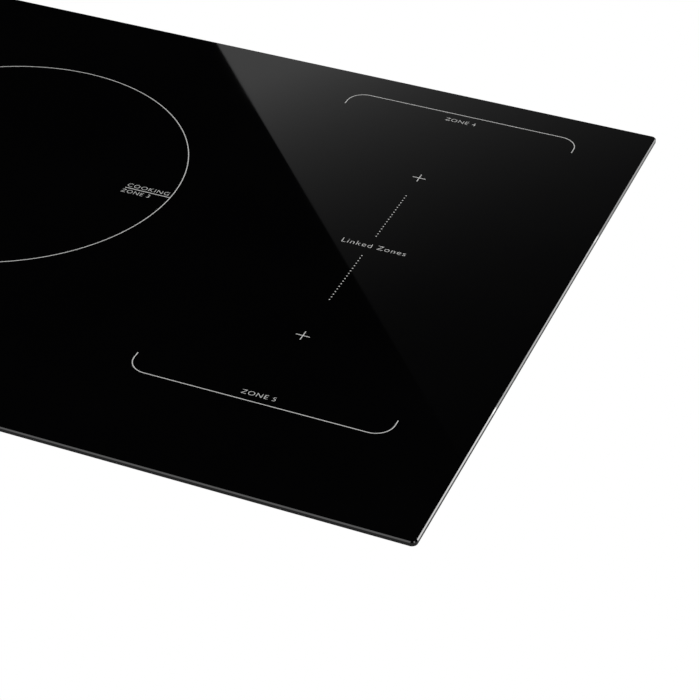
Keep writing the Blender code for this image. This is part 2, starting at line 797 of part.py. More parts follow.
# ---------------------------------------------------------------- electronics
def make_board(name, x, y, length, depth):
    """A circuit board on four feet, which stand on the tray's floor."""
    board = block(
        name,
        (x - length / 2, y - depth / 2, board_bottom),
        (x + length / 2, y + depth / 2, board_top),
        "circuit_board",
    )
    feet = bmesh.new()
    foot_top = board_bottom + BOARD_THICKNESS / 2
    for sx in (-1, 1):
        for sy in (-1, 1):
            add_cylinder(
                feet,
                (
                    x + sx * (length / 2 - BOARD_FOOT_INSET),
                    y + sy * (depth / 2 - BOARD_FOOT_INSET),
                    (floor_top + GAP + foot_top) / 2,
                ),
                BOARD_FOOT_RADIUS,
                foot_top - floor_top - GAP,
            )
    combine(board, "UNION", feet)


def sink_outline():
    """Cross-section of a heat sink: a base with upright fins, seen from the front."""
    pitch = (SINK_WIDTH - SINK_FIN_THICKNESS) / (SINK_FINS - 1)
    half = SINK_FIN_THICKNESS / 2
    outline = [(SINK_WIDTH / 2, 0.0), (-SINK_WIDTH / 2, 0.0)]
    for i, x in enumerate(evenly(SINK_FINS, pitch)):
        if i:
            outline.append((x - half, SINK_BASE))
        outline += [(x - half, sink_height), (x + half, sink_height)]
        if i < SINK_FINS - 1:
            outline.append((x + half, SINK_BASE))
    return outline


def make_electronics():
    for side, sx in SIDES.items():
        x = sx * electronics_x
        make_board(f"power_board_{side}", x, board_y, BOARD_LENGTH, board_depth)
        outline_extrusion(
            f"heat_sink_{side}",
            sink_outline(),
            sink_length,
            "sink_aluminium",
            at=(x, board_y, board_top + GAP),
        )
    make_board(
        "filter_board", 0.0, zone_y + FILTER_BOARD_BEHIND, FILTER_BOARD_WIDTH, FILTER_BOARD_DEPTH
    )


def make_fan_housing(side, x):
    """A flat box with a round chamber, an inlet below, an outlet in front and the motor above."""
    half = FAN_HOUSING_SIDE / 2
    housing = block(
        f"fan_housing_{side}",
        (x - half, fan_y - half, fan_bottom),
        (x + half, fan_y + half, fan_top),
        "fan_plastic",
        radius=FAN_CORNER_RADIUS,
    )
    low, high = fan_bottom + FAN_WALL, fan_top - FAN_WALL
    chamber = bmesh.new()
    add_cylinder(
        chamber, (x, fan_y, (low + high) / 2), half - FAN_WALL, high - low, sides=ROUND_SIDES
    )
    combine(housing, "DIFFERENCE", chamber)
    cut_block(
        housing,
        (x - FAN_OUTLET_WIDTH / 2, fan_y - FAN_HOUSING_SIDE, low),
        (x + FAN_OUTLET_WIDTH / 2, fan_y, high),
    )
    inlet = bmesh.new()
    add_cylinder(inlet, (x, fan_y, fan_bottom), FAN_INLET_RADIUS, 4 * FAN_WALL, sides=ROUND_SIDES)
    combine(housing, "DIFFERENCE", inlet)
    motor = bmesh.new()
    motor_top = fan_top - FAN_WALL / 2
    add_cylinder(
        motor,
        (x, fan_y, (motor_top + high - MOTOR_DEPTH) / 2),
        MOTOR_RADIUS,
        motor_top - high + MOTOR_DEPTH,
        sides=SMALL_SIDES,
    )
    combine(housing, "UNION", motor)


def make_impeller(side, x):
    """A disc and a cup that turns round the motor, with curved-in blades standing on the disc."""
    low = fan_bottom + FAN_WALL + RUNNING_GAP
    high = fan_top - FAN_WALL - RUNNING_GAP
    cup_floor = fan_top - FAN_WALL - MOTOR_DEPTH - RUNNING_GAP
    cup_inner = MOTOR_RADIUS + RUNNING_GAP
    impeller = turned(
        f"fan_impeller_{side}",
        [
            (cup_inner, high),
            (IMPELLER_HUB_RADIUS, high),
            (IMPELLER_HUB_RADIUS, low + IMPELLER_DISC),
            (IMPELLER_RADIUS - IMPELLER_BLADE_LENGTH - RUNNING_GAP, low + IMPELLER_DISC),
            (IMPELLER_RADIUS, low + IMPELLER_DISC),
            (IMPELLER_RADIUS, low),
            (0.0, low),
            (0.0, cup_floor),
            (cup_inner, cup_floor),
        ],
        ROUND_SIDES,
        "fan_plastic",
        at=(x, fan_y, 0.0),
        closed=True,
    )
    blades = bmesh.new()
    middle = IMPELLER_RADIUS - IMPELLER_BLADE_LENGTH / 2 - RUNNING_GAP
    for i in range(IMPELLER_BLADES):
        fresh = bmesh.new()
        add_block(
            fresh,
            (-IMPELLER_BLADE_LENGTH / 2, -IMPELLER_BLADE_THICKNESS / 2, low + IMPELLER_DISC / 2),
            (IMPELLER_BLADE_LENGTH / 2, IMPELLER_BLADE_THICKNESS / 2, high),
        )
        lean = Matrix.Rotation(math.radians(35), 4, "Z")
        around = Matrix.Rotation(2 * math.pi * i / IMPELLER_BLADES, 4, "Z")
        fresh.transform(around @ Matrix.Translation((middle, 0.0, 0.0)) @ lean)
        one = mesh_of("blade", fresh)
        blades.from_mesh(one)
        bpy.data.meshes.remove(one)
    combine(impeller, "UNION", blades)


def make_controls():
    """A plastic holder on the step's floor, with the touch board on its rim under the glass."""
    front = -flange_half_y + FLANGE_WIDTH + CONTROL_FROM_FLANGE
    back = front + CONTROL_DEPTH
    half = CONTROL_LENGTH / 2
    board_high = glass_bottom - CONTROL_BOARD_BELOW_GLASS
    rim = board_high - BOARD_THICKNESS - GAP
    holder_bottom = step_height + TRAY_SHEET + GAP
    holder = block(
        "control_holder",
        (-half, front, holder_bottom),
        (half, back, rim),
        "carrier_plastic",
        radius=CONTROL_HOLDER_RADIUS,
    )
    wall = CONTROL_HOLDER_WALL
    cut_block(
        holder,
        (-half + wall, front + wall, holder_bottom + wall),
        (half - wall, back - wall, rim + wall),
    )
    margin = CONTROL_BOARD_MARGIN
    block(
        "control_board",
        (-half, front + margin / 4, rim + GAP),
        (half, back - margin / 4, board_high),
        "circuit_board",
    )


# ---------------------------------------------------------------- mains terminals
def make_terminals():
    """A housing through the back wall, the terminal block in it, and its hinged cover."""
    low, high = (Vector(corner) for corner in terminal_low_high())
    flange_y = (high.y, high.y + TERMINAL_FLANGE_THICKNESS)
    housing = block("terminal_housing", low, high + Vector((0, TERMINAL_WALL / 2, 0)), "terminal_plastic")
    flange = bmesh.new()
    grow = Vector((TERMINAL_FLANGE, 0.0, TERMINAL_FLANGE))
    add_block(
        flange,
        Vector((low.x, flange_y[0], low.z)) - grow,
        Vector((high.x, flange_y[1], high.z)) + grow,
    )
    combine(housing, "UNION", flange)
    hinge_y, hinge_z = hinge_line(low, flange_y[1])
    cover_low_x, cover_high_x = low.x - TERMINAL_FLANGE / 2, high.x + TERMINAL_FLANGE / 2
    add_hinge_ears(housing, cover_low_x, cover_high_x, flange_y, hinge_y, hinge_z)
    wall = Vector((TERMINAL_WALL, TERMINAL_WALL, TERMINAL_WALL))
    cut_block(
        housing, low + wall, (high.x - TERMINAL_WALL, flange_y[1] + TERMINAL_WALL, high.z - TERMINAL_WALL)
    )
    make_terminal_block(low + wall, high - wall)
    make_terminal_cover(cover_low_x, cover_high_x, flange_y[1], high.z, hinge_y, hinge_z)


def hinge_line(low, flange_out):
    """Y and Z of the cover's hinge, just outside the flange's lower edge."""
    return flange_out + GAP + COVER_BARREL_RADIUS, low.z - TERMINAL_FLANGE + EAR_RADIUS


def add_hinge_ears(housing, low_x, high_x, flange_y, hinge_y, hinge_z):
    """Two ears outside the flange, with holes for the cover's pins."""
    ears = bmesh.new()
    holes = bmesh.new()
    for edge, out in ((low_x, -1), (high_x, 1)):
        inner, outer = edge - out * EAR_THICKNESS, edge
        add_block(
            ears,
            (min(inner, outer), flange_y[1] - TERMINAL_FLANGE_THICKNESS / 2, hinge_z - EAR_RADIUS),
            (max(inner, outer), hinge_y + EAR_RADIUS, hinge_z + EAR_RADIUS),
        )
        add_cylinder(
            holes,
            ((inner + outer) / 2, hinge_y, hinge_z),
            COVER_PIN_RADIUS + GAP,
            3 * EAR_THICKNESS,
            axis="X",
        )
    combine(housing, "UNION", ears)
    combine(housing, "DIFFERENCE", holes)


def make_terminal_block(low, high):
    """Screw terminals for the mains leads, one slot each, on the housing's floor."""
    low = low + Vector((GAP, GAP, GAP))
    block_height = high.z - TERMINAL_BLOCK_HEADROOM - low.z
    top = low.z + block_height
    back = low.y + TERMINAL_BLOCK_DEPTH
    piece = block("terminal_block", low, (high.x - GAP, back, top), "terminal_plastic")
    width = high.x - GAP - low.x
    pitch = width / TERMINAL_WAYS
    slots = bmesh.new()
    for x in evenly(TERMINAL_WAYS, pitch):
        middle = (low.x + high.x - GAP) / 2 + x
        add_block(
            slots,
            (middle - pitch / 4, back - TERMINAL_BLOCK_DEPTH / 3, low.z + block_height / 3),
            (middle + pitch / 4, back + TERMINAL_BLOCK_DEPTH, top + block_height),
        )
    combine(piece, "DIFFERENCE", slots)


def make_terminal_cover(low_x, high_x, flange_out, high_z, hinge_y, hinge_z):
    """A flap with the cable inlet in it. Its lower edge is a barrel with a pin at each end."""
    inner_x = (low_x + EAR_THICKNESS + GAP, high_x - EAR_THICKNESS - GAP)
    near = flange_out + GAP - hinge_y
    cover = block(
        "terminal_cover",
        (low_x, near, math.hypot(EAR_RADIUS, EAR_RADIUS) + GAP),
        (high_x, near + COVER_THICKNESS, high_z + TERMINAL_FLANGE / 2 - hinge_z),
        "cover_plastic",
        at=(0.0, hinge_y, hinge_z),
    )
    neck = bmesh.new()
    add_block(
        neck, (inner_x[0], near, 0.0), (inner_x[1], near + COVER_THICKNESS, 2 * EAR_RADIUS)
    )
    combine(cover, "UNION", neck)
    middle = (low_x + high_x) / 2
    barrel = bmesh.new()
    add_cylinder(
        barrel, (middle, 0.0, 0.0), COVER_BARREL_RADIUS, inner_x[1] - inner_x[0], axis="X"
    )
    combine(cover, "UNION", barrel)
    pin = bmesh.new()
    add_cylinder(pin, (middle, 0.0, 0.0), COVER_PIN_RADIUS, high_x - low_x, axis="X")
    combine(cover, "UNION", pin)
    inlet = bmesh.new()
    add_cylinder(
        inlet,
        (middle, near, (high_z - hinge_z) / 2 + EAR_RADIUS / 2),
        CABLE_INLET_RADIUS,
        4 * COVER_THICKNESS,
        axis="Y",
        sides=ROUND_SIDES // 2,
    )
    combine(cover, "DIFFERENCE", inlet)


# ---------------------------------------------------------------- the whole hob
def make_hob():
    make_glass_plate()
    make_seal_and_adhesive()
    make_support_frame()
    make_casing_tray()
    for screw in casing_screw_places():
        make_casing_screw(*screw)
    for pocket in clamp_pockets():
        make_clamp(*pocket)
    make_coils()
    make_electronics()
    for side, sx in SIDES.items():
        make_fan_housing(side, sx * electronics_x)
        make_impeller(side, sx * electronics_x)
    make_controls()
    make_terminals()


for old in list(bpy.data.objects):
    bpy.data.objects.remove(old, do_unlink=True)
hob_collection = bpy.data.collections.new("induction_hob")
tool_collection = bpy.data.collections.new("cutting_tools")
for group in (hob_collection, tool_collection):
    bpy.context.scene.collection.children.link(group)
make_hob()
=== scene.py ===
# %% [markdown]
# # A built-in induction hob
# The hob is a black sheet of glass over a shallow steel casing full of coils and electronics. The
# working model comes from the frame, where every node already has its true size and place. This
# lesson gives the nodes their finishes and adds the fine pieces: polished edges, printed marks,
# wound coils, board components and embossed sheet steel.

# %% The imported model
import math
import random

import bmesh
import bpy
from mathutils import Matrix, Vector


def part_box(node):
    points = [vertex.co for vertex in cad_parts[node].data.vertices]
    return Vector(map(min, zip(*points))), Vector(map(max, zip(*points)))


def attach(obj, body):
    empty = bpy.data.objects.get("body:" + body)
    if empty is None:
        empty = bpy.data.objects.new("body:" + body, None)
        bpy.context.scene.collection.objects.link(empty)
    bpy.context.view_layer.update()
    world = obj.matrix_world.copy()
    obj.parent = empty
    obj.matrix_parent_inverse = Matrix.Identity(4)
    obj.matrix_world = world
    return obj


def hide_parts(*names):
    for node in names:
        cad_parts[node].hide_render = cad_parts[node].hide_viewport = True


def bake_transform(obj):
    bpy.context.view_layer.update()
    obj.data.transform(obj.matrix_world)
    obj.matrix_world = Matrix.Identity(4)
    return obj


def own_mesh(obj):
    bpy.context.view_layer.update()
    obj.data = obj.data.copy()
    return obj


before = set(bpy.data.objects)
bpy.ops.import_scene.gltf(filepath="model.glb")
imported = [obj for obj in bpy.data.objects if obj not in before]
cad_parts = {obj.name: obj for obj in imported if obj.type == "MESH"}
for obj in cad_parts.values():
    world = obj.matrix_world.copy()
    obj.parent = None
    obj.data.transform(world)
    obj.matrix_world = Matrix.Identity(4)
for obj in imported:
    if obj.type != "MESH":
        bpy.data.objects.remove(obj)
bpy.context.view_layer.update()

# %% Names used all over
SIDES = {"left": -1, "right": 1}
ENDS = {"front": -1, "rear": 1}
PLATES = ["left", "right", "centre"]
COILS = {                      # each coil and the plate that carries it
    "left_front": "left", "left_rear": "left", "right_front": "right", "right_rear": "right",
    "centre": "centre"}
MM = 0.001
QUARTER = math.pi / 2


def box_of(node):
    """The two corners of a node's box and its middle, in metres."""
    low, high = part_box(node)
    return low, high, (low + high) / 2


def middle(node):
    return box_of(node)[2]


glass_low, glass_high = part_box("glass_plate")
glass_top = glass_high.z
print("glass from", [round(v, 4) for v in glass_low], "to", [round(v, 4) for v in glass_high])

# %% [markdown]
# ## The camera
# The object is seen from the cook's right, well above the worktop, through a long lens that keeps
# the edges of the glass nearly parallel. The camera's place is measured from the middle of the
# glass. A slight turn about the view line levels the frame on the right half of the hob.

# %% Camera
CAMERA_FROM_GLASS = (0.79630, -1.24787, 0.90839)
CAMERA_TURN = (53.850, -0.833, 22.365)    # degrees about X, Y and Z
LENS = 117.86                             # millimetres, on a 36 mm wide sensor

bpy.ops.object.camera_add(location=Vector(CAMERA_FROM_GLASS) + Vector((0, 0, glass_top)))
camera = bpy.context.object
camera.name = "studio_camera"
camera.rotation_euler = [math.radians(a) for a in CAMERA_TURN]
camera.data.lens = LENS
camera.data.sensor_width = 36
bpy.context.scene.camera = camera
print("camera at", [round(v, 3) for v in camera.location])

# %% [markdown]
# ## The floor and the backdrop
# The hob lies on a plain white surface that gives its own even light, as on a light table, so the
# thin edges of the glass stand out without a shadow. Mirrors see it darker than matt surfaces do.
# The sky is white to the camera, soft to matt surfaces, and dark to mirrors except low down, so the
# flat of the glass stays black and only its edges catch the horizon. Floor, sky and finishes are
# all built of nodes, so the helpers that add and join nodes come first.

# %% Helpers for nodes


def add_node(look, kind, **values):
    """A node of a finish or a sky. Values named like one of its sockets are set there."""
    node = look.node_tree.nodes.new("ShaderNode" + kind)
    for key, value in values.items():
        label = key.replace("_", " ").title()
        if label in node.inputs:
            node.inputs[label].default_value = value
        else:
            setattr(node, key, value)
    return node


def link(look, source, target):
    """Joins a node's result to a socket, or sets a plain number there."""
    if isinstance(source, bpy.types.NodeSocket):
        look.node_tree.links.new(source, target)
    else:
        target.default_value = source


def calculate(look, operation, *values):
    """The result of a Math node on numbers or other nodes' results."""
    node = add_node(look, "Math", operation=operation)
    for socket, value in zip(node.inputs, values):
        link(look, value, socket)
    return node.outputs[0]


def axes_of(look, kind):
    """X, Y and Z of one kind of coordinates."""
    axes = add_node(look, "SeparateXYZ")
    link(look, add_node(look, "TexCoord").outputs[kind], axes.inputs[0])
    return axes.outputs


def strength_by_ray(look, matt, mirrored):
    """1 to the camera, and other strengths to matt surfaces and to mirrors."""
    path = add_node(look, "LightPath")
    mirror = add_node(look, "Mix", a=matt)
    link(look, path.outputs["Is Glossy Ray"], mirror.inputs["Factor"])
    link(look, mirrored, mirror.inputs["B"])
    seen = add_node(look, "Mix", b=1.0)
    link(look, path.outputs["Is Camera Ray"], seen.inputs["Factor"])
    link(look, mirror.outputs["Result"], seen.inputs["A"])
    return seen.outputs["Result"]


def light_only(look, source, output, strength):
    """Leaves a finish or a sky nothing but white light, of a strength made by a function."""
    look.use_nodes = True
    look.node_tree.nodes.clear()
    glow = add_node(look, source, color=(1, 1, 1, 1))
    link(look, strength(look), glow.inputs["Strength"])
    link(look, glow.outputs[0], add_node(look, output).inputs["Surface"])
    return look


print("node helpers ready")

# %% Floor
FLOOR_SIZE = 12.0
FLOOR_LIGHT = 0.55             # what it gives the hob. The camera sees it pure white
FLOOR_MIRRORED = 0.34          # and what mirrors see of it

bpy.ops.mesh.primitive_plane_add(size=FLOOR_SIZE, location=(0, 0, 0))
floor = bpy.context.object
floor.name = "studio_floor"
floor.data.materials.append(light_only(
    bpy.data.materials.new("light_table"), "Emission", "OutputMaterial",
    lambda look: strength_by_ray(look, FLOOR_LIGHT, FLOOR_MIRRORED)))
print("floor", FLOOR_SIZE, "m wide")

# %% Sky
SKY_MATT = 0.60                # what matt surfaces see
SKY_MIRROR_LOW = 0.272         # what mirrors see at the horizon
SKY_MIRROR_HIGH = 0.0          # and above
HORIZON_FADE = 0.36            # sine of the height where the glow ends


def sky_strength(look):
    fade = add_node(look, "MapRange", interpolation_type="SMOOTHSTEP", from_min=0.0,
                    from_max=HORIZON_FADE, to_min=SKY_MIRROR_LOW, to_max=SKY_MIRROR_HIGH)
    link(look, axes_of(look, "Generated")["Z"], fade.inputs["Value"])
    return strength_by_ray(look, SKY_MATT, fade.outputs["Result"])


bpy.context.scene.world = light_only(bpy.data.worlds.new("studio_sky"), "Background",
                                     "OutputWorld", sky_strength)
print("sky:", SKY_MATT, "to matt surfaces")

# %% [markdown]
# ## The lamps
# Black glass has no shading of its own: its look is what it mirrors. A tall softbox stands behind
# the hob, and its slanted left side draws the diagonal edge in the glass. Its lamp sits low on the
# left, so its light falls off up and to the right. It is a card that glows and that only mirrors
# see.

# %% Softbox behind the hob
SOFTBOX_Y = 2.4
SOFTBOX_EDGE = ((-1.1895, 0.975), (-0.1585, 2.60))   # its slanted left side, X and Z
SOFTBOX_RIGHT = 0.75
SOFTBOX_BRIGHT = 20.95         # strength at X = 0, Z = 0, were it to reach so far
SOFTBOX_FADE_X = 0.331         # metres over which the light drops to a third
SOFTBOX_FADE_Z = 0.2236
SOFTBOX_LIMIT = 0.52
SOFTBOX_KNEE = 0.15            # how softly the light reaches its limit


def add_card(name, corners, strength):
    """A card of light that only mirrors see."""
    bpy.ops.mesh.primitive_plane_add(size=1, location=(0, 0, 0))
    card = bpy.context.object
    card.name = name
    for corner, place in zip(card.data.vertices, corners):
        corner.co = place
    card.data.materials.append(light_only(bpy.data.materials.new(name + "_cloth"), "Emission",
                                          "OutputMaterial", strength))
    card.visible_camera = card.visible_diffuse = card.visible_shadow = False
    print(name, "from", corners[0], "to", corners[1])


def softbox_strength(look):
    axes = axes_of(look, "Object")
    power = calculate(look, "MULTIPLY_ADD", axes["X"], -1 / SOFTBOX_FADE_X,
                      math.log(SOFTBOX_BRIGHT))
    power = calculate(look, "MULTIPLY_ADD", axes["Z"], -1 / SOFTBOX_FADE_Z, power)
    return calculate(look, "SMOOTH_MIN", calculate(look, "EXPONENT", power), SOFTBOX_LIMIT,
                     SOFTBOX_KNEE)


(foot_x, foot_z), (head_x, head_z) = SOFTBOX_EDGE
add_card("studio_softbox", [(x, SOFTBOX_Y, z) for x, z in (
    (foot_x, foot_z), (SOFTBOX_RIGHT, foot_z), (head_x, head_z), (SOFTBOX_RIGHT, head_z))],
    softbox_strength)

# %% [markdown]
# Seen from other sides the glass would mirror nothing but dark sky. Two pale screens, too low and
# too far round to be mirrored in the main view, give it a soft sheen there.

# %% Pale screens for the other sides
SCREEN_GLOW = 0.55
SCREEN_FADE = 0.45             # metres of height over which the glow drops to a third


def add_screen(name, start, end, low, high):
    """An upright screen between two points of the floor, bright at its foot."""
    def strength(look):
        return calculate(look, "EXPONENT", calculate(
            look, "MULTIPLY_ADD", axes_of(look, "Object")["Z"], -1 / SCREEN_FADE,
            math.log(SCREEN_GLOW) + low / SCREEN_FADE))

    add_card(name, [(*start, low), (*end, low), (*start, high), (*end, high)], strength)


add_screen("studio_screen_left", (-4.2, 0.6), (-2.2, 3.2), 0.6, 2.4)
add_screen("studio_screen_front", (3.4, -2.0), (1.2, -3.6), 0.5, 2.4)

# %% [markdown]
# The other softboxes brighten the steel and the ground arrises, each from where a 45 degree arris
# throws its light to the camera: one above the cook for the front, a row low at the right for the
# side, and one between them for the corner. A fill from the left lights only what is matt.

# %% Softboxes for the edges and the steel
EDGE_START = (2.16, 1.60, 0.70)     # where the front end of the right arris looks
EDGE_END = (1.54, 2.18, 0.56)       # and its back end
EDGE_POWERS = (10.0, 6.0, 3.4)      # watts, a lamp for each third
EDGE_SIZE = (0.44, 0.7)


def add_softbox(name, place, aim, size, power, mirrored=True):
    """A rectangular lamp that faces a point. It lights mirrors too if it is mirrored."""
    bpy.ops.object.light_add(type="AREA", location=place)
    lamp = bpy.context.object
    lamp.name = name
    lamp.data.shape = "RECTANGLE"
    lamp.data.size, lamp.data.size_y = size
    lamp.data.energy = power
    lamp.rotation_euler = (Vector(aim) - Vector(place)).to_track_quat("-Z", "Y").to_euler()
    lamp.visible_glossy = mirrored
    lamp.visible_camera = False
    print(name, "at", [round(v, 2) for v in place], "gives", power, "W")


add_softbox("key_softbox", (-0.9, -2.1, 2.1), (0, -0.1, 0), (2.2, 1.2), 19.0)
add_softbox("corner_softbox", (2.2, -0.85, 1.75), (glass_high.x, glass_low.y, 0), (0.8, 0.8), 8.0)
add_softbox("fill_softbox", (-2.6, 0.6, 1.8), (0, 0, 0), (1.4, 1.4), 10.0, False)
for step, power in enumerate(EDGE_POWERS):
    place = Vector(EDGE_START).lerp(Vector(EDGE_END), step / (len(EDGE_POWERS) - 1))
    add_softbox(f"edge_softbox_{step}", place, (glass_high.x, 0, 0), EDGE_SIZE, power)
bpy.context.scene.view_settings.view_transform = "Standard"

# %% [markdown]
# ## How a finish is built
# Every finish starts from the Principled shader. What varies over the surface, such as spangle,
# grain or a film of dust, comes from noise on Object coordinates, which keep their scale in metres
# and stay on the piece when it moves. Values that are the same everywhere are set on the shader.
# A finish is kept by its name, with the name of the material slot that it fills.

# %% Helpers for finishes
looks = {}
slots = {}


def start_look(name, slot, colour, roughness, metallic=0.0):
    """A Principled finish with its plain values set."""
    look = bpy.data.materials.new(name)
    looks[name], slots[name] = look, slot
    look.use_nodes = True
    shader = look.node_tree.nodes["Principled BSDF"]
    shader.inputs["Base Color"].default_value = (*colour, 1.0)
    shader.inputs["Roughness"].default_value = roughness
    shader.inputs["Metallic"].default_value = metallic
    return look, shader.inputs


def on_object(look, scale=(1, 1, 1), turn=0.0):
    """Object coordinates, stretched or turned about Z."""
    mapping = add_node(look, "Mapping", scale=scale, rotation=(0, 0, turn))
    link(look, add_node(look, "TexCoord").outputs["Object"], mapping.inputs["Vector"])
    return mapping.outputs["Vector"]


def noise(look, scale, detail=3.0, vector=None):
    grain = add_node(look, "TexNoise", scale=scale, detail=detail)
    link(look, vector or on_object(look), grain.inputs["Vector"])
    return grain.outputs["Fac"]


def ramp(look, source, stops, target):
    """Runs a source through (position, colour) stops to a colour."""
    node = add_node(look, "ValToRGB")
    band = node.color_ramp
    while len(band.elements) < len(stops):
        band.elements.new(0.5)
    for element, (position, colour) in zip(band.elements, stops):
        element.position = position
        element.color = (*colour, 1.0)
    link(look, source, node.inputs["Fac"])
    link(look, node.outputs["Color"], target)


def spread(look, source, low, high, target, from_low=0.3, from_high=0.7):
    """Sets a target that runs from low to high with the source."""
    node = add_node(look, "MapRange", from_min=from_low, from_max=from_high, to_min=low,
                    to_max=high)
    link(look, source, node.inputs["Value"])
    link(look, node.outputs["Result"], target)


def bump(look, shader, source, strength, distance):
    node = add_node(look, "Bump", strength=strength, distance=distance)
    link(look, source, node.inputs["Height"])
    link(look, node.outputs["Normal"], shader["Normal"])


def cells(look, scale, vector=None):
    """A pattern of irregular cells."""
    pattern = add_node(look, "TexVoronoi", scale=scale)
    link(look, vector or on_object(look), pattern.inputs["Vector"])
    return pattern.outputs


def cell_tones(look, pattern):
    """Three numbers that each cell has for itself."""
    tone = add_node(look, "SeparateColor")
    link(look, pattern["Color"], tone.inputs["Color"])
    return tone.outputs


print("finish helpers ready")

# %% [markdown]
# Glass-ceramic is black all through and polished like a mirror. What gives it away as a real
# surface is a very faint film left by wiping, so its roughness drifts a little from place to place.

# %% Black glass
GLASS_BLACK = (0.0012, 0.0012, 0.0013)
GLASS_DEEP = (0.0008, 0.0008, 0.0009)
GLASS_ROUGHNESS = 0.012
GLASS_FILM = 0.026

look, shader = start_look("black_glass_ceramic", "black_glass", GLASS_BLACK, GLASS_ROUGHNESS)
shader["IOR"].default_value = 1.5
wiping = noise(look, 5.0, 4.0, on_object(look, (1.0, 3.0, 1.0), 0.5))
spread(look, wiping, GLASS_ROUGHNESS, GLASS_FILM, shader["Roughness"])
ramp(look, noise(look, 9.0), [(0.3, GLASS_BLACK), (0.7, GLASS_DEEP)], shader["Base Color"])
print(look.name)

# %% [markdown]
# The zone marks are fired on as light grey enamel, screen-printed through a fine mesh, so they are
# a little uneven and quite matt.

# %% Printed enamel
ENAMEL_GREY = (0.62, 0.62, 0.61)
ENAMEL_WORN = (0.50, 0.50, 0.49)

look, shader = start_look("printed_enamel", "marking_enamel", ENAMEL_GREY, 0.5)
grain = noise(look, 900.0, 2.0)
ramp(look, grain, [(0.35, ENAMEL_WORN), (0.6, ENAMEL_GREY)], shader["Base Color"])
bump(look, shader, grain, 0.2, 0.00002)
print(look.name)

# %% [markdown]
# ## How a piece is modelled
# A piece starts as a primitive of its own size and place, is shaped in edit mode, and ends as an
# object at the origin with its place in its mesh. These helpers keep the selecting and the mode
# changes out of the steps that follow.

# %% Helpers for modelling


def only(*pieces):
    """Selects these pieces alone, in object mode. The last one is active."""
    if bpy.context.object and bpy.context.object.mode != "OBJECT":
        bpy.ops.object.mode_set(mode="OBJECT")
    bpy.ops.object.select_all(action="DESELECT")
    for piece in pieces:
        piece.select_set(True)
        bpy.context.view_layer.objects.active = piece


def named(name):
    piece = bpy.context.object
    piece.name = piece.data.name = name
    return piece


def added(name):
    """Names what an operator has just added, and moves its place and size into its mesh."""
    piece = named(name)
    only(piece)
    bpy.ops.object.transform_apply(location=True, rotation=True, scale=True)
    return piece


def box_piece(name, low, high):
    low, high = Vector(low), Vector(high)
    only()
    bpy.ops.mesh.primitive_cube_add(size=1, location=(low + high) / 2, scale=high - low)
    return added(name)


def cylinder_piece(name, centre, radius, low, high, sides=32):
    """An upright cylinder from low to high."""
    only()
    bpy.ops.mesh.primitive_cylinder_add(vertices=sides, radius=radius, depth=high - low,
                                        location=(centre[0], centre[1], (low + high) / 2))
    return added(name)


def edit(piece, mode="FACE", test=None):
    """Goes into edit mode with what passes a test selected: faces, edges or points. Without a
    test it is all of them."""
    only(piece)
    bpy.ops.object.mode_set(mode="EDIT")
    bpy.ops.mesh.select_mode(type=mode)
    bpy.ops.mesh.select_all(action="DESELECT" if test else "SELECT")
    if test:
        mesh = bmesh.from_edit_mesh(piece.data)
        mesh.normal_update()
        for part in {"FACE": mesh.faces, "EDGE": mesh.edges, "VERT": mesh.verts}[mode]:
            part.select_set(bool(test(part)))
        mesh.select_flush_mode()


def done(piece):
    bpy.ops.object.mode_set(mode="OBJECT")
    return piece


def extrude(step):
    bpy.ops.mesh.extrude_region_move(TRANSFORM_OT_translate={"value": step})


def faces_up(face):
    return face.normal.z > 0.9


def edge_runs(axis):
    """A test for edges along X, Y or Z, which are 0, 1 and 2."""
    def test(edge):
        run = edge.verts[1].co - edge.verts[0].co
        return run.length > 0 and abs(run[axis]) > 0.999 * run.length
    return test


def smooth(piece, angle=35):
    only(piece)
    bpy.ops.object.shade_smooth_by_angle(angle=math.radians(angle))
    return piece


def modify(piece, kind, **values):
    """Adds a modifier with its values and applies it."""
    modifier = piece.modifiers.new("Shape", kind)
    for key, value in values.items():
        setattr(modifier, key, value)
    only(piece)
    bpy.ops.object.modifier_apply(modifier=modifier.name)
    return piece


def soften(piece, width, segments=2, angle=30):
    """Rounds every sharp edge with an applied Bevel. Hardened normals keep the flats flat."""
    smooth(piece, angle)
    return modify(piece, "BEVEL", width=width, segments=segments, limit_method="ANGLE",
                  angle_limit=math.radians(angle), use_clamp_overlap=True, harden_normals=True)


def cut(piece, cutter):
    """Takes the cutter's shape out of a piece."""
    modify(piece, "BOOLEAN", operation="DIFFERENCE", solver="EXACT", object=cutter)
    bpy.data.objects.remove(cutter)
    return piece


def joined(name, pieces):
    """Makes several pieces one object of that name."""
    only(*pieces)
    bpy.ops.object.join()
    return named(name)


def laid(piece, place, turn, axis):
    """Turns a piece about an axis through the origin, then moves it to its place."""
    piece.data.transform(Matrix.Translation(place) @ Matrix.Rotation(turn, 4, axis))
    return piece


def copy_of(piece, name, shift=(0, 0, 0), turn=0.0, about=(0, 0, 0)):
    """A copy with its own mesh, turned about an upright axis, then shifted."""
    only(piece)
    bpy.ops.object.duplicate(linked=False)
    copy = named(name)
    copy.data.transform(Matrix.Translation(-Vector(about)))
    return laid(copy, Vector(shift) + Vector(about), turn, "Z")


def finish_piece(piece, look, *replaced, body="casing", slot=None):
    """Gives a piece its finish, the body that it rides on and the nodes that it stands for."""
    piece.data.materials.clear()
    piece.data.materials.append(looks[look])
    if body:
        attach(piece, body)
    if replaced:
        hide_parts(*replaced)
    return piece


def group(name, look, parts):
    """Joins parts of one finish that ride on the casing."""
    return finish_piece(joined(name, parts), look)


print("modelling helpers ready")

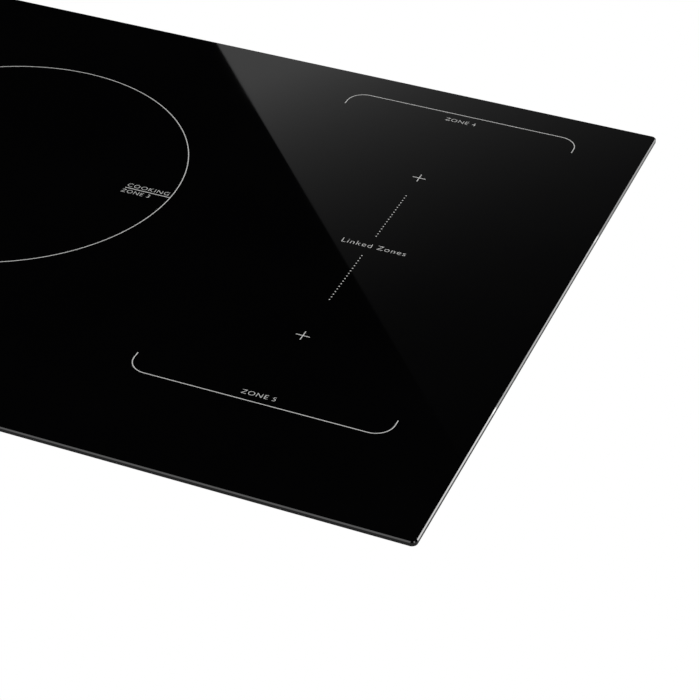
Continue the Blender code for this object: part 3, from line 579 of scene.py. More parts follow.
# %% [markdown]
# ## The glass
# The plate is ground to size, which leaves small rounded corners and a flat arris of just under a
# millimetre along every edge. It is narrow, but it is what catches the light and draws the outline
# of the hob. A block is given upright rounded corners first, and one cut at 45 degrees makes the
# arris. Smooth shading stops at the arris, so it stays flat and mirrors one lamp along its whole
# length.

# %% Glass plate with polished edges
GLASS_CORNER = 4.0 * MM
ARRIS = 0.75 * MM
GLASS_FLAT = 0.01 * MM              # how little a level edge may climb

glass = box_piece("polished_glass", glass_low, glass_high)
edit(glass, "EDGE", edge_runs(2))
bpy.ops.mesh.bevel(offset=GLASS_CORNER, segments=10, affect="EDGES")
edit(glass, "EDGE", lambda e: abs(e.verts[0].co.z - e.verts[1].co.z) < GLASS_FLAT)
bpy.ops.mesh.bevel(offset=ARRIS, segments=1, affect="EDGES")
smooth(done(glass), 30)
finish_piece(glass, "black_glass_ceramic", "glass_plate")
print("glass plate:", len(glass.data.polygons), "faces")

# %% [markdown]
# ## The printed marks
# Each mark is a film of enamel on the glass. A line is modelled as a face with an inset border:
# the inside is deleted, and the border that stays is given its thickness.

# %% Helpers for the marks
PRINT_HEIGHT = 0.03 * MM
PRINT_SUNK = 0.02 * MM              # below the surface, so no gap shows
PRINT_Z = glass_top - PRINT_SUNK
LINE_WIDTH = 0.68 * MM


def raised(piece):
    """Gives flat print its thickness."""
    edit(piece)
    extrude((0, 0, PRINT_HEIGHT + PRINT_SUNK))
    bpy.ops.mesh.select_all(action="SELECT")
    bpy.ops.mesh.normals_make_consistent(inside=False)
    return done(piece)


def outline_only(piece, width):
    """Insets a flat face by the line's width and deletes its inside."""
    edit(piece)
    bpy.ops.mesh.inset(thickness=width, depth=0)
    bpy.ops.mesh.delete(type="FACE")
    return done(piece)


def printed(piece):
    return finish_piece(piece, "printed_enamel")


def flat_disc(name, x, y, radius, sides):
    only()
    bpy.ops.mesh.primitive_circle_add(vertices=sides, radius=radius, fill_type="NGON",
                                      location=(x, y, PRINT_Z))
    return added(name)


def flat_rectangle(name, low_x, high_x, low_y, high_y):
    only()
    bpy.ops.mesh.primitive_plane_add(
        size=1, location=((low_x + high_x) / 2, (low_y + high_y) / 2, PRINT_Z))
    bpy.context.object.scale = (high_x - low_x, high_y - low_y, 1)
    return added(name)


print("line width", round(LINE_WIDTH / MM, 2), "mm")

# %% [markdown]
# The middle zone is a full circle with a short rule and two small words inside it at the right.
# The words only say what the zone is for.

# %% Middle zone's ring
CENTRE_ZONE_RADIUS = 141.5 * MM
centre_y = middle("coil_carrier_centre").y

printed(raised(outline_only(
    flat_disc("centre_zone_ring", 0, centre_y, CENTRE_ZONE_RADIUS, 200), LINE_WIDTH)))
print("middle zone", round(2 * CENTRE_ZONE_RADIUS / MM), "mm across")

# %% Words on the glass
LETTER_HEIGHT = 4.3 * MM
THINNED = 0.012                     # taken off the strokes of letters of size 1
RULE_START = 104 * MM
rule_y = centre_y + 0.5 * MM


def printed_word(name, words, left, right, bottom, height=LETTER_HEIGHT):
    """Raised words whose capitals are that high and that run from left to right."""
    only()
    bpy.ops.object.text_add(location=(0, 0, 0))
    text = bpy.context.object
    text.data.body = words
    text.data.resolution_u = 4
    text.data.space_character = 1.12
    text.data.offset = -THINNED
    only(text)
    bpy.ops.object.convert(target="MESH")
    piece = bpy.context.object
    points = [v.co.copy() for v in piece.data.vertices]
    low_x, high_x = min(p.x for p in points), max(p.x for p in points)
    stretch = ((right - left) / (high_x - low_x), height / max(p.y for p in points), 1, 1)
    piece.data.transform(Matrix.Translation((left, bottom, PRINT_Z)) @ Matrix.Diagonal(stretch)
                         @ Matrix.Translation((-low_x, 0, 0)))
    added(name)
    edit(piece)
    bpy.ops.mesh.remove_doubles(threshold=1e-7)
    return printed(raised(done(piece)))


printed(raised(flat_rectangle("centre_zone_rule", RULE_START, CENTRE_ZONE_RADIUS - LINE_WIDTH / 2,
                              rule_y - LINE_WIDTH / 2, rule_y + LINE_WIDTH / 2)))
printed_word("centre_zone_word_upper", "COOKING", 104.6 * MM, 138.4 * MM, rule_y + 1.9 * MM)
printed_word("centre_zone_word_lower", "ZONE 3", 103.5 * MM, 126.5 * MM, rule_y - 6.5 * MM)
print("words in the middle zone")

# %% [markdown]
# A linked zone is marked at both ends by a bracket with rounded corners and short sides. It is
# the outline of a rounded rectangle, cut off by a bisecting plane, and only its end is kept.

# %% Linked zone marks
zone_x = {side: middle(f"coil_plate_{side}").x for side in SIDES}
BRACKET_HALF = 93.9 * MM
BRACKET_Y = {"front": -171.3 * MM, "rear": 230.2 * MM}
BRACKET_CORNER = 14.0 * MM
BRACKET_TAIL = 19.5 * MM


def bracket(name, x, line_y, inward):
    """The mark of one end. Its short sides point inward, which is 1 to the back or -1."""
    low_y, high_y = sorted((line_y, line_y + inward * 4 * BRACKET_TAIL))
    piece = flat_rectangle(name, x - BRACKET_HALF, x + BRACKET_HALF, low_y, high_y)
    edit(piece, "VERT")
    bpy.ops.mesh.bevel(offset=BRACKET_CORNER, segments=10, affect="VERTICES")
    outline_only(piece, LINE_WIDTH)
    edit(piece)
    bpy.ops.mesh.bisect(plane_co=(x, line_y + inward * BRACKET_TAIL, glass_top),
                        plane_no=(0, inward, 0), clear_outer=True)
    return printed(raised(done(piece)))


for side in SIDES:
    for end, away in ENDS.items():
        bracket(f"zone_bracket_{side}_{end}", zone_x[side], BRACKET_Y[end], -away)
print("brackets at X", {side: round(x, 4) for side, x in zone_x.items()})

# %% Crosses where a small pan stands
CROSS_ARM = 5.1 * MM
CROSS_Y = {"front": -90.2 * MM, "rear": 130.0 * MM}


def cross(name, x, y):
    """A small square whose four sides are extruded into arms."""
    half = LINE_WIDTH / 2
    piece = raised(flat_rectangle(name, x - half, x + half, y - half, y + half))
    for direction in ((1, 0), (-1, 0), (0, 1), (0, -1)):
        outward = Vector((*direction, 0))
        end = Vector((x, y, 0)) + half * outward
        edit(piece, "FACE", lambda f: f.normal.dot(outward) > 0.9
             and (f.calc_center_median() - end).xy.length < half / 2)
        extrude(outward * (CROSS_ARM - half))
        done(piece)
    return printed(piece)


for side in SIDES:
    for end in ENDS:
        cross(f"zone_cross_{side}_{end}", zone_x[side], CROSS_Y[end])
print("crosses made")

# %% Dotted line between the crosses
DOT_RADIUS = 0.54 * MM
DOTS = 18
DOT_PITCH = 3.5 * MM
DOT_ROWS = {"rear": 102.8 * MM, "front": 15.9 * MM}    # where each row starts, at its rear

first_dot = raised(flat_disc("zone_dot", 0, 0, DOT_RADIUS, 12))
for side in SIDES:
    for end, start_y in DOT_ROWS.items():
        row = [copy_of(first_dot, "zone_dot_copy", (zone_x[side], start_y - i * DOT_PITCH, 0))
               for i in range(DOTS)]
        printed(joined(f"zone_dots_{side}_{end}", row))
bpy.data.objects.remove(first_dot)
print(4 * DOTS, "dots")

# %% Words of the linked zones
ZONE_NUMBERS = {"left_front": 1, "left_rear": 2, "right_rear": 4, "right_front": 5}
WORD_HALF = 12.3 * MM
WORD_Y = {"front": BRACKET_Y["front"] + 6.2 * MM, "rear": BRACKET_Y["rear"] - 12.2 * MM}
LINK_WORD_LEFT = 20.8 * MM
LINK_WORD_RIGHT = 28.3 * MM

for side, x in zone_x.items():
    for end in ENDS:
        printed_word(f"zone_word_{side}_{end}", f"ZONE {ZONE_NUMBERS[f'{side}_{end}']}",
                     x - WORD_HALF, x + WORD_HALF, WORD_Y[end])
    printed_word(f"zone_word_{side}_link", "Linked Zones", x - LINK_WORD_LEFT,
                 x + LINK_WORD_RIGHT, centre_y - 2.4 * MM, 1.2 * LETTER_HEIGHT)
print("words on both linked zones")

# %% [markdown]
# The touch controls lie in front of the middle zone. Little is printed there, because the figures
# of the displays only show while the hob is on: a power sign, a row of zone numbers, a scale of
# heat levels from 0 to 9, and a minus and a plus for the timer.

# %% Touch control marks
control_low, control_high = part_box("control_holder")
SCALE_Y = control_low.y + 0.62 * (control_high.y - control_low.y)
NUMBER_Y = control_low.y + 0.22 * (control_high.y - control_low.y)
POWER_X = -108 * MM
POWER_RADIUS = 4.2 * MM
POWER_GAP_Y = NUMBER_Y + 2 * MM + 0.8 * POWER_RADIUS    # above it the ring is open
SCALE_START = -52 * MM
SCALE_PITCH = 12.5 * MM
NUMBER_HEIGHT = 3.6 * MM
NUMBER_HALF = 1.1 * MM
ZONE_PITCH = 22 * MM
SIGN_X = {"minus": 42 * MM, "plus": 62 * MM}
SIGN_ARM = 2.6 * MM
SIGN_HALF = 0.25 * MM

ring = outline_only(flat_disc("control_power_ring", POWER_X, NUMBER_Y + 2 * MM, POWER_RADIUS, 40),
                    0.8 * LINE_WIDTH)
edit(ring, "FACE", lambda f: f.calc_center_median().y > POWER_GAP_Y)
bpy.ops.mesh.delete(type="FACE")
printed(raised(ring))
printed(raised(flat_rectangle("control_power_bar", POWER_X - 0.3 * MM, POWER_X + 0.3 * MM,
                              NUMBER_Y + 3.4 * MM, NUMBER_Y + 7.4 * MM)))
for i in range(1, 6):
    x = POWER_X + i * ZONE_PITCH
    printed_word(f"control_zone_{i}", str(i), x - NUMBER_HALF, x + NUMBER_HALF, NUMBER_Y,
                 NUMBER_HEIGHT)
for i in range(10):
    x = SCALE_START + i * SCALE_PITCH
    printed_word(f"control_level_{i}", str(i), x - NUMBER_HALF, x + NUMBER_HALF,
                 SCALE_Y + 3 * MM, NUMBER_HEIGHT)
    printed(raised(flat_rectangle(f"control_tick_{i}", x - 4.6 * MM, x + 4.6 * MM,
                                  SCALE_Y - 0.4 * MM, SCALE_Y + 0.4 * MM)))
sign_y = NUMBER_Y + 1.95 * MM
for name, x in SIGN_X.items():
    bar = flat_rectangle("bar", x - SIGN_ARM, x + SIGN_ARM, sign_y - SIGN_HALF, sign_y + SIGN_HALF)
    arms = [flat_rectangle("arm", x - SIGN_HALF, x + SIGN_HALF, low_y, high_y)
            for low_y, high_y in ((sign_y - SIGN_ARM, sign_y - 0.3 * MM),
                                  (sign_y + 0.3 * MM, sign_y + SIGN_ARM)) if name == "plus"]
    printed(raised(joined(f"control_{name}", arms + [bar])))
print("touch controls at Y", round(NUMBER_Y, 4), "and", round(SCALE_Y, 4))

# %% [markdown]
# ## Finishes of the metals
# The casing is hot-dip galvanised sheet. Its zinc froze in flat crystals, the spangle, each of
# which mirrors the light a little differently: a Voronoi pattern gives every crystal its own tone
# and roughness. Rolled or drawn metals are streaked along one direction instead, which is noise
# stretched a hundredfold.

# %% Galvanised steel
ZINC_DARK = (0.44, 0.45, 0.465)
ZINC_LIGHT = (0.60, 0.61, 0.62)
RAGGED = 0.012                 # how far noise moves the crystals' edges


def galvanised(name, slot, scale):
    look, shader = start_look(name, slot, ZINC_LIGHT, 0.38, 1.0)
    place = on_object(look)
    ragged = add_node(look, "Mix", data_type="VECTOR", factor=RAGGED)
    wander = add_node(look, "TexNoise", scale=160.0)
    link(look, place, wander.inputs["Vector"])
    link(look, place, ragged.inputs[4])
    link(look, wander.outputs["Color"], ragged.inputs[5])
    crystals = cells(look, scale, ragged.outputs[1])
    tone = cell_tones(look, crystals)
    ramp(look, tone["Red"], [(0.0, ZINC_DARK), (1.0, ZINC_LIGHT)], shader["Base Color"])
    spread(look, tone["Green"], 0.26, 0.48, shader["Roughness"], 0.0, 1.0)
    bump(look, shader, crystals["Distance"], 0.08, 0.0004)


galvanised("galvanised_spangle", "galvanised_steel", 130.0)
galvanised("frame_spangle", "frame_steel", 260.0)
print("spangle in two sizes")

# %% Streaked metals
STREAK = 90.0


def streaked(name, slot, dark, light, stretch, low_rough, high_rough):
    """Bare metal with fine lines along the axis whose stretch is 1."""
    look, shader = start_look(name, slot, light, low_rough, 1.0)
    lines = noise(look, 14.0, 5.0, on_object(look, stretch))
    ramp(look, lines, [(0.25, dark), (0.75, light)], shader["Base Color"])
    spread(look, lines, high_rough, low_rough, shader["Roughness"])
    bump(look, shader, lines, 0.15, 0.00003)


streaked("rolled_aluminium", "coil_aluminium", (0.62, 0.63, 0.64), (0.82, 0.82, 0.83),
         (1, STREAK, 1), 0.28, 0.42)
streaked("extruded_aluminium", "sink_aluminium", (0.60, 0.61, 0.62), (0.80, 0.80, 0.81),
         (STREAK, 1, STREAK), 0.30, 0.46)
streaked("spring_steel", "spring_steel", (0.16, 0.17, 0.20), (0.36, 0.37, 0.40),
         (STREAK, 1, 1), 0.24, 0.38)
streaked("brass", "litz_copper", (0.55, 0.38, 0.15), (0.78, 0.60, 0.28), (8, 8, 8), 0.26, 0.38)
print("streaked metals ready")

# %% [markdown]
# Screws and clamps are zinc-plated and passivated, which leaves a faint yellow and blue shimmer in
# soft clouds over the bright metal.

# %% Passivated zinc
look, shader = start_look("passivated_zinc", "zinc_steel", (0.68, 0.67, 0.62), 0.27, 1.0)
ramp(look, noise(look, 130.0, 2.0), [(0.3, (0.62, 0.64, 0.67)), (0.5, (0.70, 0.69, 0.64)),
                                     (0.7, (0.72, 0.66, 0.50))], shader["Base Color"])
spread(look, noise(look, 700.0), 0.2, 0.36, shader["Roughness"])
print(look.name)

# %% [markdown]
# ## Finishes of the plastics and the rest
# Moulded plastic has a fine spark-eroded grain, which is a small bump and a slight unevenness of
# tone. Foam has open pores, mica is pressed from flakes, and the lacquer of a circuit board shows
# its copper tracks as a lighter green.

# %% Moulded plastics


def moulded(name, slot, colour, roughness, grain=1500.0, depth=0.00004, mottle=0.16):
    """Plastic with a spark-eroded grain."""
    look, shader = start_look(name, slot, colour, roughness)
    darker = tuple(c * (1 - mottle) for c in colour)
    ramp(look, noise(look, 60.0, 4.0), [(0.3, darker), (0.7, colour)], shader["Base Color"])
    fine = noise(look, grain, 2.0)
    spread(look, fine, 0.9 * roughness, min(1.0, 1.15 * roughness), shader["Roughness"])
    bump(look, shader, fine, 0.25, depth)


moulded("glass_filled_nylon", "carrier_plastic", (0.060, 0.060, 0.064), 0.55, mottle=0.3)
moulded("fan_plastic", "fan_plastic", (0.030, 0.030, 0.031), 0.45)
moulded("terminal_nylon", "terminal_plastic", (0.74, 0.74, 0.71), 0.38)
moulded("cover_plastic", "cover_plastic", (0.055, 0.055, 0.060), 0.42)
moulded("capacitor_case", "terminal_plastic", (0.66, 0.66, 0.63), 0.35)
moulded("capacitor_wrap", "terminal_plastic", (0.72, 0.50, 0.06), 0.4)
moulded("relay_case", "fan_plastic", (0.030, 0.032, 0.036), 0.33)
moulded("chip_resin", "fan_plastic", (0.018, 0.018, 0.019), 0.5)
moulded("capacitor_sleeve", "fan_plastic", (0.020, 0.045, 0.14), 0.32)
moulded("connector_nylon", "terminal_plastic", (0.80, 0.79, 0.74), 0.42)
moulded("varistor_lacquer", "terminal_plastic", (0.05, 0.16, 0.42), 0.35)
moulded("ferrite", "carrier_plastic", (0.050, 0.049, 0.050), 0.62, 900.0, 0.00008, 0.35)
moulded("silicone_bead", "silicone", (0.040, 0.040, 0.042), 0.34, 300.0, 0.00006)
moulded("sensor_silicone", "sensor_silicone", (0.72, 0.70, 0.66), 0.5)
moulded("red_lead", "silicone", (0.42, 0.03, 0.025), 0.4)
moulded("white_lead", "silicone", (0.74, 0.73, 0.70), 0.45)
moulded("blank_label", "coil_aluminium", (0.80, 0.81, 0.82), 0.34, 2600.0, 0.00001, 0.05)
print("plastics ready")

# %% Foam and mica
look, shader = start_look("closed_cell_foam", "seal_foam", (0.022, 0.022, 0.023), 0.85)
pores = cells(look, 900.0)
ramp(look, pores["Distance"], [(0.0, (0.045, 0.045, 0.046)), (0.7, (0.012, 0.012, 0.012))],
     shader["Base Color"])
bump(look, shader, pores["Distance"], 0.6, 0.0004)

look, shader = start_look("pressed_mica", "mica", (0.60, 0.55, 0.45), 0.42)
flakes = cell_tones(look, cells(look, 260.0))
ramp(look, flakes["Red"], [(0.0, (0.42, 0.37, 0.29)), (0.6, (0.58, 0.53, 0.44)),
                           (1.0, (0.74, 0.71, 0.63))], shader["Base Color"])
spread(look, flakes["Green"], 0.22, 0.55, shader["Roughness"], 0.0, 1.0)
print("foam and mica ready")

# %% [markdown]
# The copper tracks under a board's lacquer are a brick pattern of long thin bricks. Noise blends it
# with plain lacquer, so tracks and bare areas lie in patches.

# %% Circuit board
look, shader = start_look("green_lacquer", "circuit_board", (0.010, 0.085, 0.035), 0.3)
tracks = add_node(look, "TexBrick", scale=170.0, color1=(0.010, 0.075, 0.030, 1),
                  color2=(0.013, 0.088, 0.037, 1), mortar=(0.030, 0.150, 0.066, 1),
                  mortar_size=0.028, brick_width=2.6, row_height=0.22)
link(look, on_object(look), tracks.inputs["Vector"])
patches = add_node(look, "Mix", data_type="RGBA")
patches.inputs[7].default_value = (0.010, 0.070, 0.028, 1)
spread(look, noise(look, 38.0, 1.0), 0.0, 1.0, patches.inputs["Factor"], 0.46, 0.50)
link(look, tracks.outputs["Color"], patches.inputs[6])
link(look, patches.outputs[2], shader["Base Color"])
spread(look, noise(look, 240.0), 0.22, 0.4, shader["Roughness"])
bump(look, shader, tracks.outputs["Fac"], 0.3, 0.00004)
print(look.name)

# %% [markdown]
# Litz wire is a bundle of hundreds of lacquered copper strands, twisted like a rope. The finish
# reads the wire's own UV map, whose U runs along it and V round it, and a slanting wave shows the
# lay of the strands. The same wave darkens the colour in the grooves between strands, where its
# bump is lowest: that darkening is painted shade. A longer wire needs more turns.

# %% Litz wire
LITZ_TURNS = {"litz_of_a_small_coil": 420, "litz_of_the_large_coil": 1150}

for name, turns in LITZ_TURNS.items():
    look, shader = start_look(name, "litz_copper", (0.72, 0.30, 0.12), 0.36, 0.85)
    mapping = add_node(look, "Mapping", scale=(turns, 7.0, 1.0))
    link(look, add_node(look, "UVMap").outputs["UV"], mapping.inputs["Vector"])
    strand_lay_and_groove_shade = add_node(look, "TexWave", wave_type="BANDS", bands_direction="DIAGONAL", scale=1.0,
                   distortion=0.6)
    link(look, mapping.outputs["Vector"], strand_lay_and_groove_shade.inputs["Vector"])
    # painted shade: the colour is darkest where the wave is low, in the grooves between strands,
    # where the bump sinks too
    ramp(look, strand_lay_and_groove_shade.outputs["Color"], [(0.0, (0.34, 0.12, 0.045)), (0.6, (0.72, 0.30, 0.12)),
                                      (1.0, (0.86, 0.42, 0.20))], shader["Base Color"])
    bump(look, shader, strand_lay_and_groove_shade.outputs["Fac"], 0.5, 0.0003)
print("litz ready")

# %% [markdown]
# ## Nodes that keep their shape
# Where the frame's own solid is already right, it only needs its finish, in its own material slots.

# %% Finishes of the plain nodes
PLAIN = {
    "worktop_seal": "closed_cell_foam", "glass_adhesive": "silicone_bead",
    "support_frame": "frame_spangle", "casing_tray": "galvanised_spangle",
    "filter_board": "green_lacquer", "control_board": "green_lacquer",
    **{f"power_board_{side}": "green_lacquer" for side in SIDES},
    **{f"mica_sheet_{coil}": "pressed_mica" for coil in COILS},
}

for node, look in PLAIN.items():
    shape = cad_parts[node]
    for place in shape.material_slots:
        place.material = looks[look]
    if not shape.material_slots:
        shape.data.materials.append(looks[look])
print(len(PLAIN), "nodes dressed")

# %% [markdown]
# Pressed, cast and moulded pieces have no knife edges. A copy of the frame's solid has its loose
# triangles merged and its flat faces joined, and then every sharp edge is rounded a little.

# %% Rounded copies of nodes
ROUNDED = {                    # the copy's name, finish, rounding in millimetres and body
    "terminal_housing": ("terminal_box", "terminal_nylon", 0.5, "casing"),
    "terminal_block": ("terminal_strip", "connector_nylon", 0.4, "casing"),
    "terminal_cover": ("terminal_lid", "cover_plastic", 0.4, "terminal_flap"),
    "control_holder": ("control_tray", "glass_filled_nylon", 0.3, "casing"),
}
for plate in PLATES:
    ROUNDED[f"coil_plate_{plate}"] = (f"pressed_plate_{plate}", "rolled_aluminium", 0.3,
                                      f"coil_set_{plate}")
for side in SIDES:
    ROUNDED[f"fan_housing_{side}"] = (f"blower_case_{side}", "fan_plastic", 0.4, "casing")
    ROUNDED[f"heat_sink_{side}"] = (f"finned_sink_{side}", "extruded_aluminium", 0.2, "casing")
    for end in ENDS:
        ROUNDED[f"clamp_bracket_{end}_{side}"] = (f"worktop_clamp_{end}_{side}",
                                                  "passivated_zinc", 0.4, f"clamp_{end}_{side}")
for coil, plate in COILS.items():
    ROUNDED[f"coil_sensor_{coil}"] = (f"heat_sensor_{coil}", "sensor_silicone", 0.4,
                                      f"coil_set_{plate}")

for node, (name, look, width, body) in ROUNDED.items():
    piece = bpy.data.objects.new(name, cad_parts[node].data.copy())
    bpy.context.scene.collection.objects.link(piece)
    only(piece)
    bpy.ops.mesh.customdata_custom_splitnormals_clear()
    edit(piece, "VERT")
    bpy.ops.mesh.remove_doubles(threshold=1e-6)
    bpy.ops.mesh.dissolve_limited(angle_limit=math.radians(1))
    finish_piece(soften(done(piece), width * MM), look, node, body=body)
print(len(ROUNDED), "rounded copies")

# %% [markdown]
# ## The coils
# A winding is one long litz wire laid in a flat spiral. Its centre line grows by one pitch each
# turn, so a point is placed by its angle alone, and a round wire follows the line. This is a shape
# that no primitive starts, so it is a curve, made a mesh once it is thick.

# %% Wound coils
WIRE_GAP = 0.5 * MM
POINTS_A_TURN = 44


def wire_along(name, points, radius, sides=4):
    """A round wire on a smooth line of points, made a closed mesh."""
    line = bpy.data.curves.new(name, "CURVE")
    line.dimensions = "3D"
    line.bevel_depth = radius
    line.bevel_resolution = sides // 2
    line.use_fill_caps = True
    spline = line.splines.new("POLY")
    spline.points.add(len(points) - 1)
    for point, place in zip(spline.points, points):
        point.co = (*place, 1.0)
    spline.use_smooth = True
    piece = bpy.data.objects.new(name, line)
    bpy.context.scene.collection.objects.link(piece)
    only(piece)
    bpy.ops.object.convert(target="MESH")
    piece = added(name)
    edit(piece)
    bpy.ops.mesh.remove_doubles(threshold=1e-6)
    return smooth(done(piece), 60)


def around(centre, radius, angle, height):
    """A point on a level circle."""
    return Vector((centre[0] + radius * math.cos(angle), centre[1] + radius * math.sin(angle),
                   height))


def node_hole(node):
    """Radius of the round hole in a node: its innermost points' distance from its middle."""
    centre = middle(node)
    return min((v.co - centre).xy.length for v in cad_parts[node].data.vertices)


coil_ends = {}
for coil, plate in COILS.items():
    node = f"coil_winding_{coil}"
    low, high, centre = box_of(node)
    wire = (high.z - low.z) / 2 - 0.1 * MM
    outer = (high.x - low.x) / 2 - wire
    inner = node_hole(node) + wire
    toward_middle = 0.0 if coil.startswith("left") else math.pi
    turns = (outer - inner) / (2 * wire + WIRE_GAP)
    count = int(turns * POINTS_A_TURN)
    path = [around(centre, inner + (outer - inner) * i / count,
                   toward_middle + 2 * math.pi * turns * (i / count - 1), centre.z)
            for i in range(count + 1)]
    coil_ends[coil] = path[-1]
    piece = wire_along(f"litz_winding_{coil}", path, wire)
    finish_piece(piece, f"litz_of_{'the_large' if coil == 'centre' else 'a_small'}_coil", node,
                 body=f"coil_set_{plate}")
    print(coil, "has", round(turns, 1), "turns of", round(2 * wire / MM, 1), "mm litz,",
          len(piece.data.polygons), "faces")

# %% [markdown]
# The carrier under a winding is a moulded wheel: a hub, a rim and spokes. Between its spokes lie
# bars of ferrite, which lead the magnetic field back under the coil and keep it out of the
# electronics. Tapered cutters on a circle open the windows in a disc.

# %% Carriers and ferrite bars
SPOKE_WIDTH = 7.0 * MM
RIM_WIDTH = 5.0 * MM
HUB_WIDTH = 9.0 * MM
FERRITE_GAP = 0.8 * MM
FERRITE_THICKNESS = 3.6 * MM
FERRITE_SUNK = 0.2 * MM
FERRITE_SHARE = 0.62           # of the window's outer width


def tapered_block(name, centre, inner, outer, inner_width, outer_width, low, high):
    """A block that points along +X from a centre and widens outwards."""
    piece = box_piece(name, (centre.x + inner, centre.y - 0.5, low),
                      (centre.x + outer, centre.y + 0.5, high))
    for end_x, width in ((centre.x + inner, inner_width), (centre.x + outer, outer_width)):
        edit(piece, "FACE", lambda f: abs(f.normal.x) > 0.9
             and abs(f.calc_center_median().x - end_x) < 0.1 * MM)
        bpy.ops.transform.resize(value=(1, width, 1), center_override=(end_x, centre.y, 0))
        done(piece)
    return piece


def round_copies(piece, name, centre, count, first_turn=0.0):
    """Copies of a piece on a circle about a centre. The first piece itself is removed."""
    copies = [copy_of(piece, f"{name}_{i}", turn=first_turn + 2 * math.pi * i / count,
                      about=centre) for i in range(count)]
    bpy.data.objects.remove(piece)
    return joined(name, copies)


for coil, plate in COILS.items():
    node = f"coil_carrier_{coil}"
    low, high, centre = box_of(node)
    body = f"coil_set_{plate}"
    radius = (high.x - low.x) / 2
    hub = node_hole(node) + HUB_WIDTH
    window_out = radius - RIM_WIDTH
    count = 12 if coil == "centre" else 8
    half_turn = math.pi / count
    inner_width = 2 * hub * math.sin(half_turn) - SPOKE_WIDTH
    outer_width = 2 * window_out * math.sin(half_turn) - SPOKE_WIDTH
    window_out *= math.cos(half_turn)
    wheel = cylinder_piece(f"carrier_wheel_{coil}", centre, radius, low.z, high.z, 96)
    cut(wheel, cylinder_piece("hole", centre, node_hole(node), low.z - MM, high.z + MM, 32))
    window = tapered_block("window", centre, hub, window_out, inner_width, outer_width,
                           low.z - MM, high.z + MM)
    cut(wheel, round_copies(window, "windows", centre, count, half_turn))
    finish_piece(soften(wheel, 0.4 * MM), "glass_filled_nylon", node, body=body)
    bar_top = high.z - FERRITE_SUNK
    bar = tapered_block("ferrite", centre, hub + FERRITE_GAP, window_out - FERRITE_GAP,
                        inner_width - 2 * FERRITE_GAP, FERRITE_SHARE * outer_width,
                        bar_top - FERRITE_THICKNESS, bar_top)
    bars = round_copies(soften(bar, 0.5 * MM), f"ferrite_bars_{coil}", centre, count, half_turn)
    finish_piece(bars, "ferrite", body=body)
    print(coil, "carrier has", count, "windows")

# %% [markdown]
# Each coil plate is carried by two bow springs of thin strip. They press the plate and its coils
# up against the glass, and in the real hob they flatten by the coil plate's small stroke when the
# glass goes on. A strip is extruded edge by edge along one wave, with flat feet, and then thickened.

# %% Bow springs
SPRING_STEPS = 18
SPRING_SHEET = 0.8 * MM
SPRING_FOOT = 6 * MM

for plate in PLATES:
    for end in ENDS:
        node = f"plate_spring_{plate}_{end}"
        low, high, centre = box_of(node)
        lowest, rise = low.z + SPRING_SHEET / 2, high.z - low.z - SPRING_SHEET
        only()
        bpy.ops.mesh.primitive_plane_add(
            size=1, location=(low.x + SPRING_FOOT / 2, centre.y, lowest))
        bpy.context.object.scale = (SPRING_FOOT, high.y - low.y, 1)
        strip = added(f"bow_spring_{plate}_{end}")
        reach = high.x - low.x - 2 * SPRING_FOOT
        steps = [(low.x + SPRING_FOOT + reach * i / SPRING_STEPS,
                  lowest + rise * math.sin(math.pi * i / SPRING_STEPS) ** 2)
                 for i in range(SPRING_STEPS + 1)] + [(high.x, lowest)]
        for (x, z), (next_x, next_z) in zip(steps, steps[1:]):
            edit(strip, "EDGE", lambda e: all(v.co.x > x - 0.01 * MM for v in e.verts))
            extrude((next_x - x, 0, next_z - z))
        modify(done(strip), "SOLIDIFY", thickness=SPRING_SHEET, offset=0)
        finish_piece(smooth(strip, 50), "spring_steel", node)
        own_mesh(strip)

# %% [markdown]
# ## The power boards
# The solids of the boards are bare, so their components are made here. Each kind has a small
# maker that stands it on a board, and what shares a finish is joined: film capacitors, cans,
# relays, chips, chokes and connectors. The tallest stay below the sprung coil plates.

# %% Makers of components
WOUND_SHARE = 0.86             # of a choke's ring
WOUND_START = 0.44             # the angle of its first loop


def standing_box(at, size, rounding=0.5):
    """A rounded block on a board. Sizes are in millimetres."""
    half = Vector((size[0] / 2, size[1] / 2, 0)) * MM
    piece = box_piece("part", Vector(at) - half, Vector(at) + half + Vector((0, 0, size[2] * MM)))
    return soften(piece, rounding * MM)


def blocks(name, look, places, size, rounding):
    """Rounded blocks of one size, joined as one piece."""
    group(name, look, [standing_box(at, size, rounding) for at in places])


def capacitor_can(at, radius, height):
    """A sleeved can: its top is sunk inside the shrunk rim of the sleeve."""
    piece = cylinder_piece("part", at, radius * MM, at[2], at[2] + height * MM, 24)
    edit(piece, "FACE", faces_up)
    bpy.ops.mesh.inset(thickness=0.9 * MM, depth=0)
    extrude((0, 0, -0.5 * MM))
    return soften(done(piece), 0.3 * MM)


def torus(at, turn, radius, thickness, sides, thickness_sides):
    only()
    bpy.ops.mesh.primitive_torus_add(
        location=at, rotation=turn, major_radius=radius * MM, minor_radius=thickness * MM,
        major_segments=sides, minor_segments=thickness_sides)
    return smooth(added("part"), 60)


def choke(core_name, wire_name, at, radius, core_radius, turns):
    """A flat ring core and the wire round it."""
    height = at[2] + (core_radius + 1.3) * MM
    core = torus((at[0], at[1], height), (0, 0, 0), radius, core_radius, 40, 12)
    loops = []
    for i in range(turns):
        angle = 2 * math.pi * WOUND_SHARE * i / turns + WOUND_START
        loops.append(torus(around(at, radius * MM, angle, height), (QUARTER, 0, angle),
                           core_radius + 0.6, 0.6, 16, 6))
    finish_piece(core, "ferrite").name = core_name
    group(wire_name, "litz_of_a_small_coil", loops)


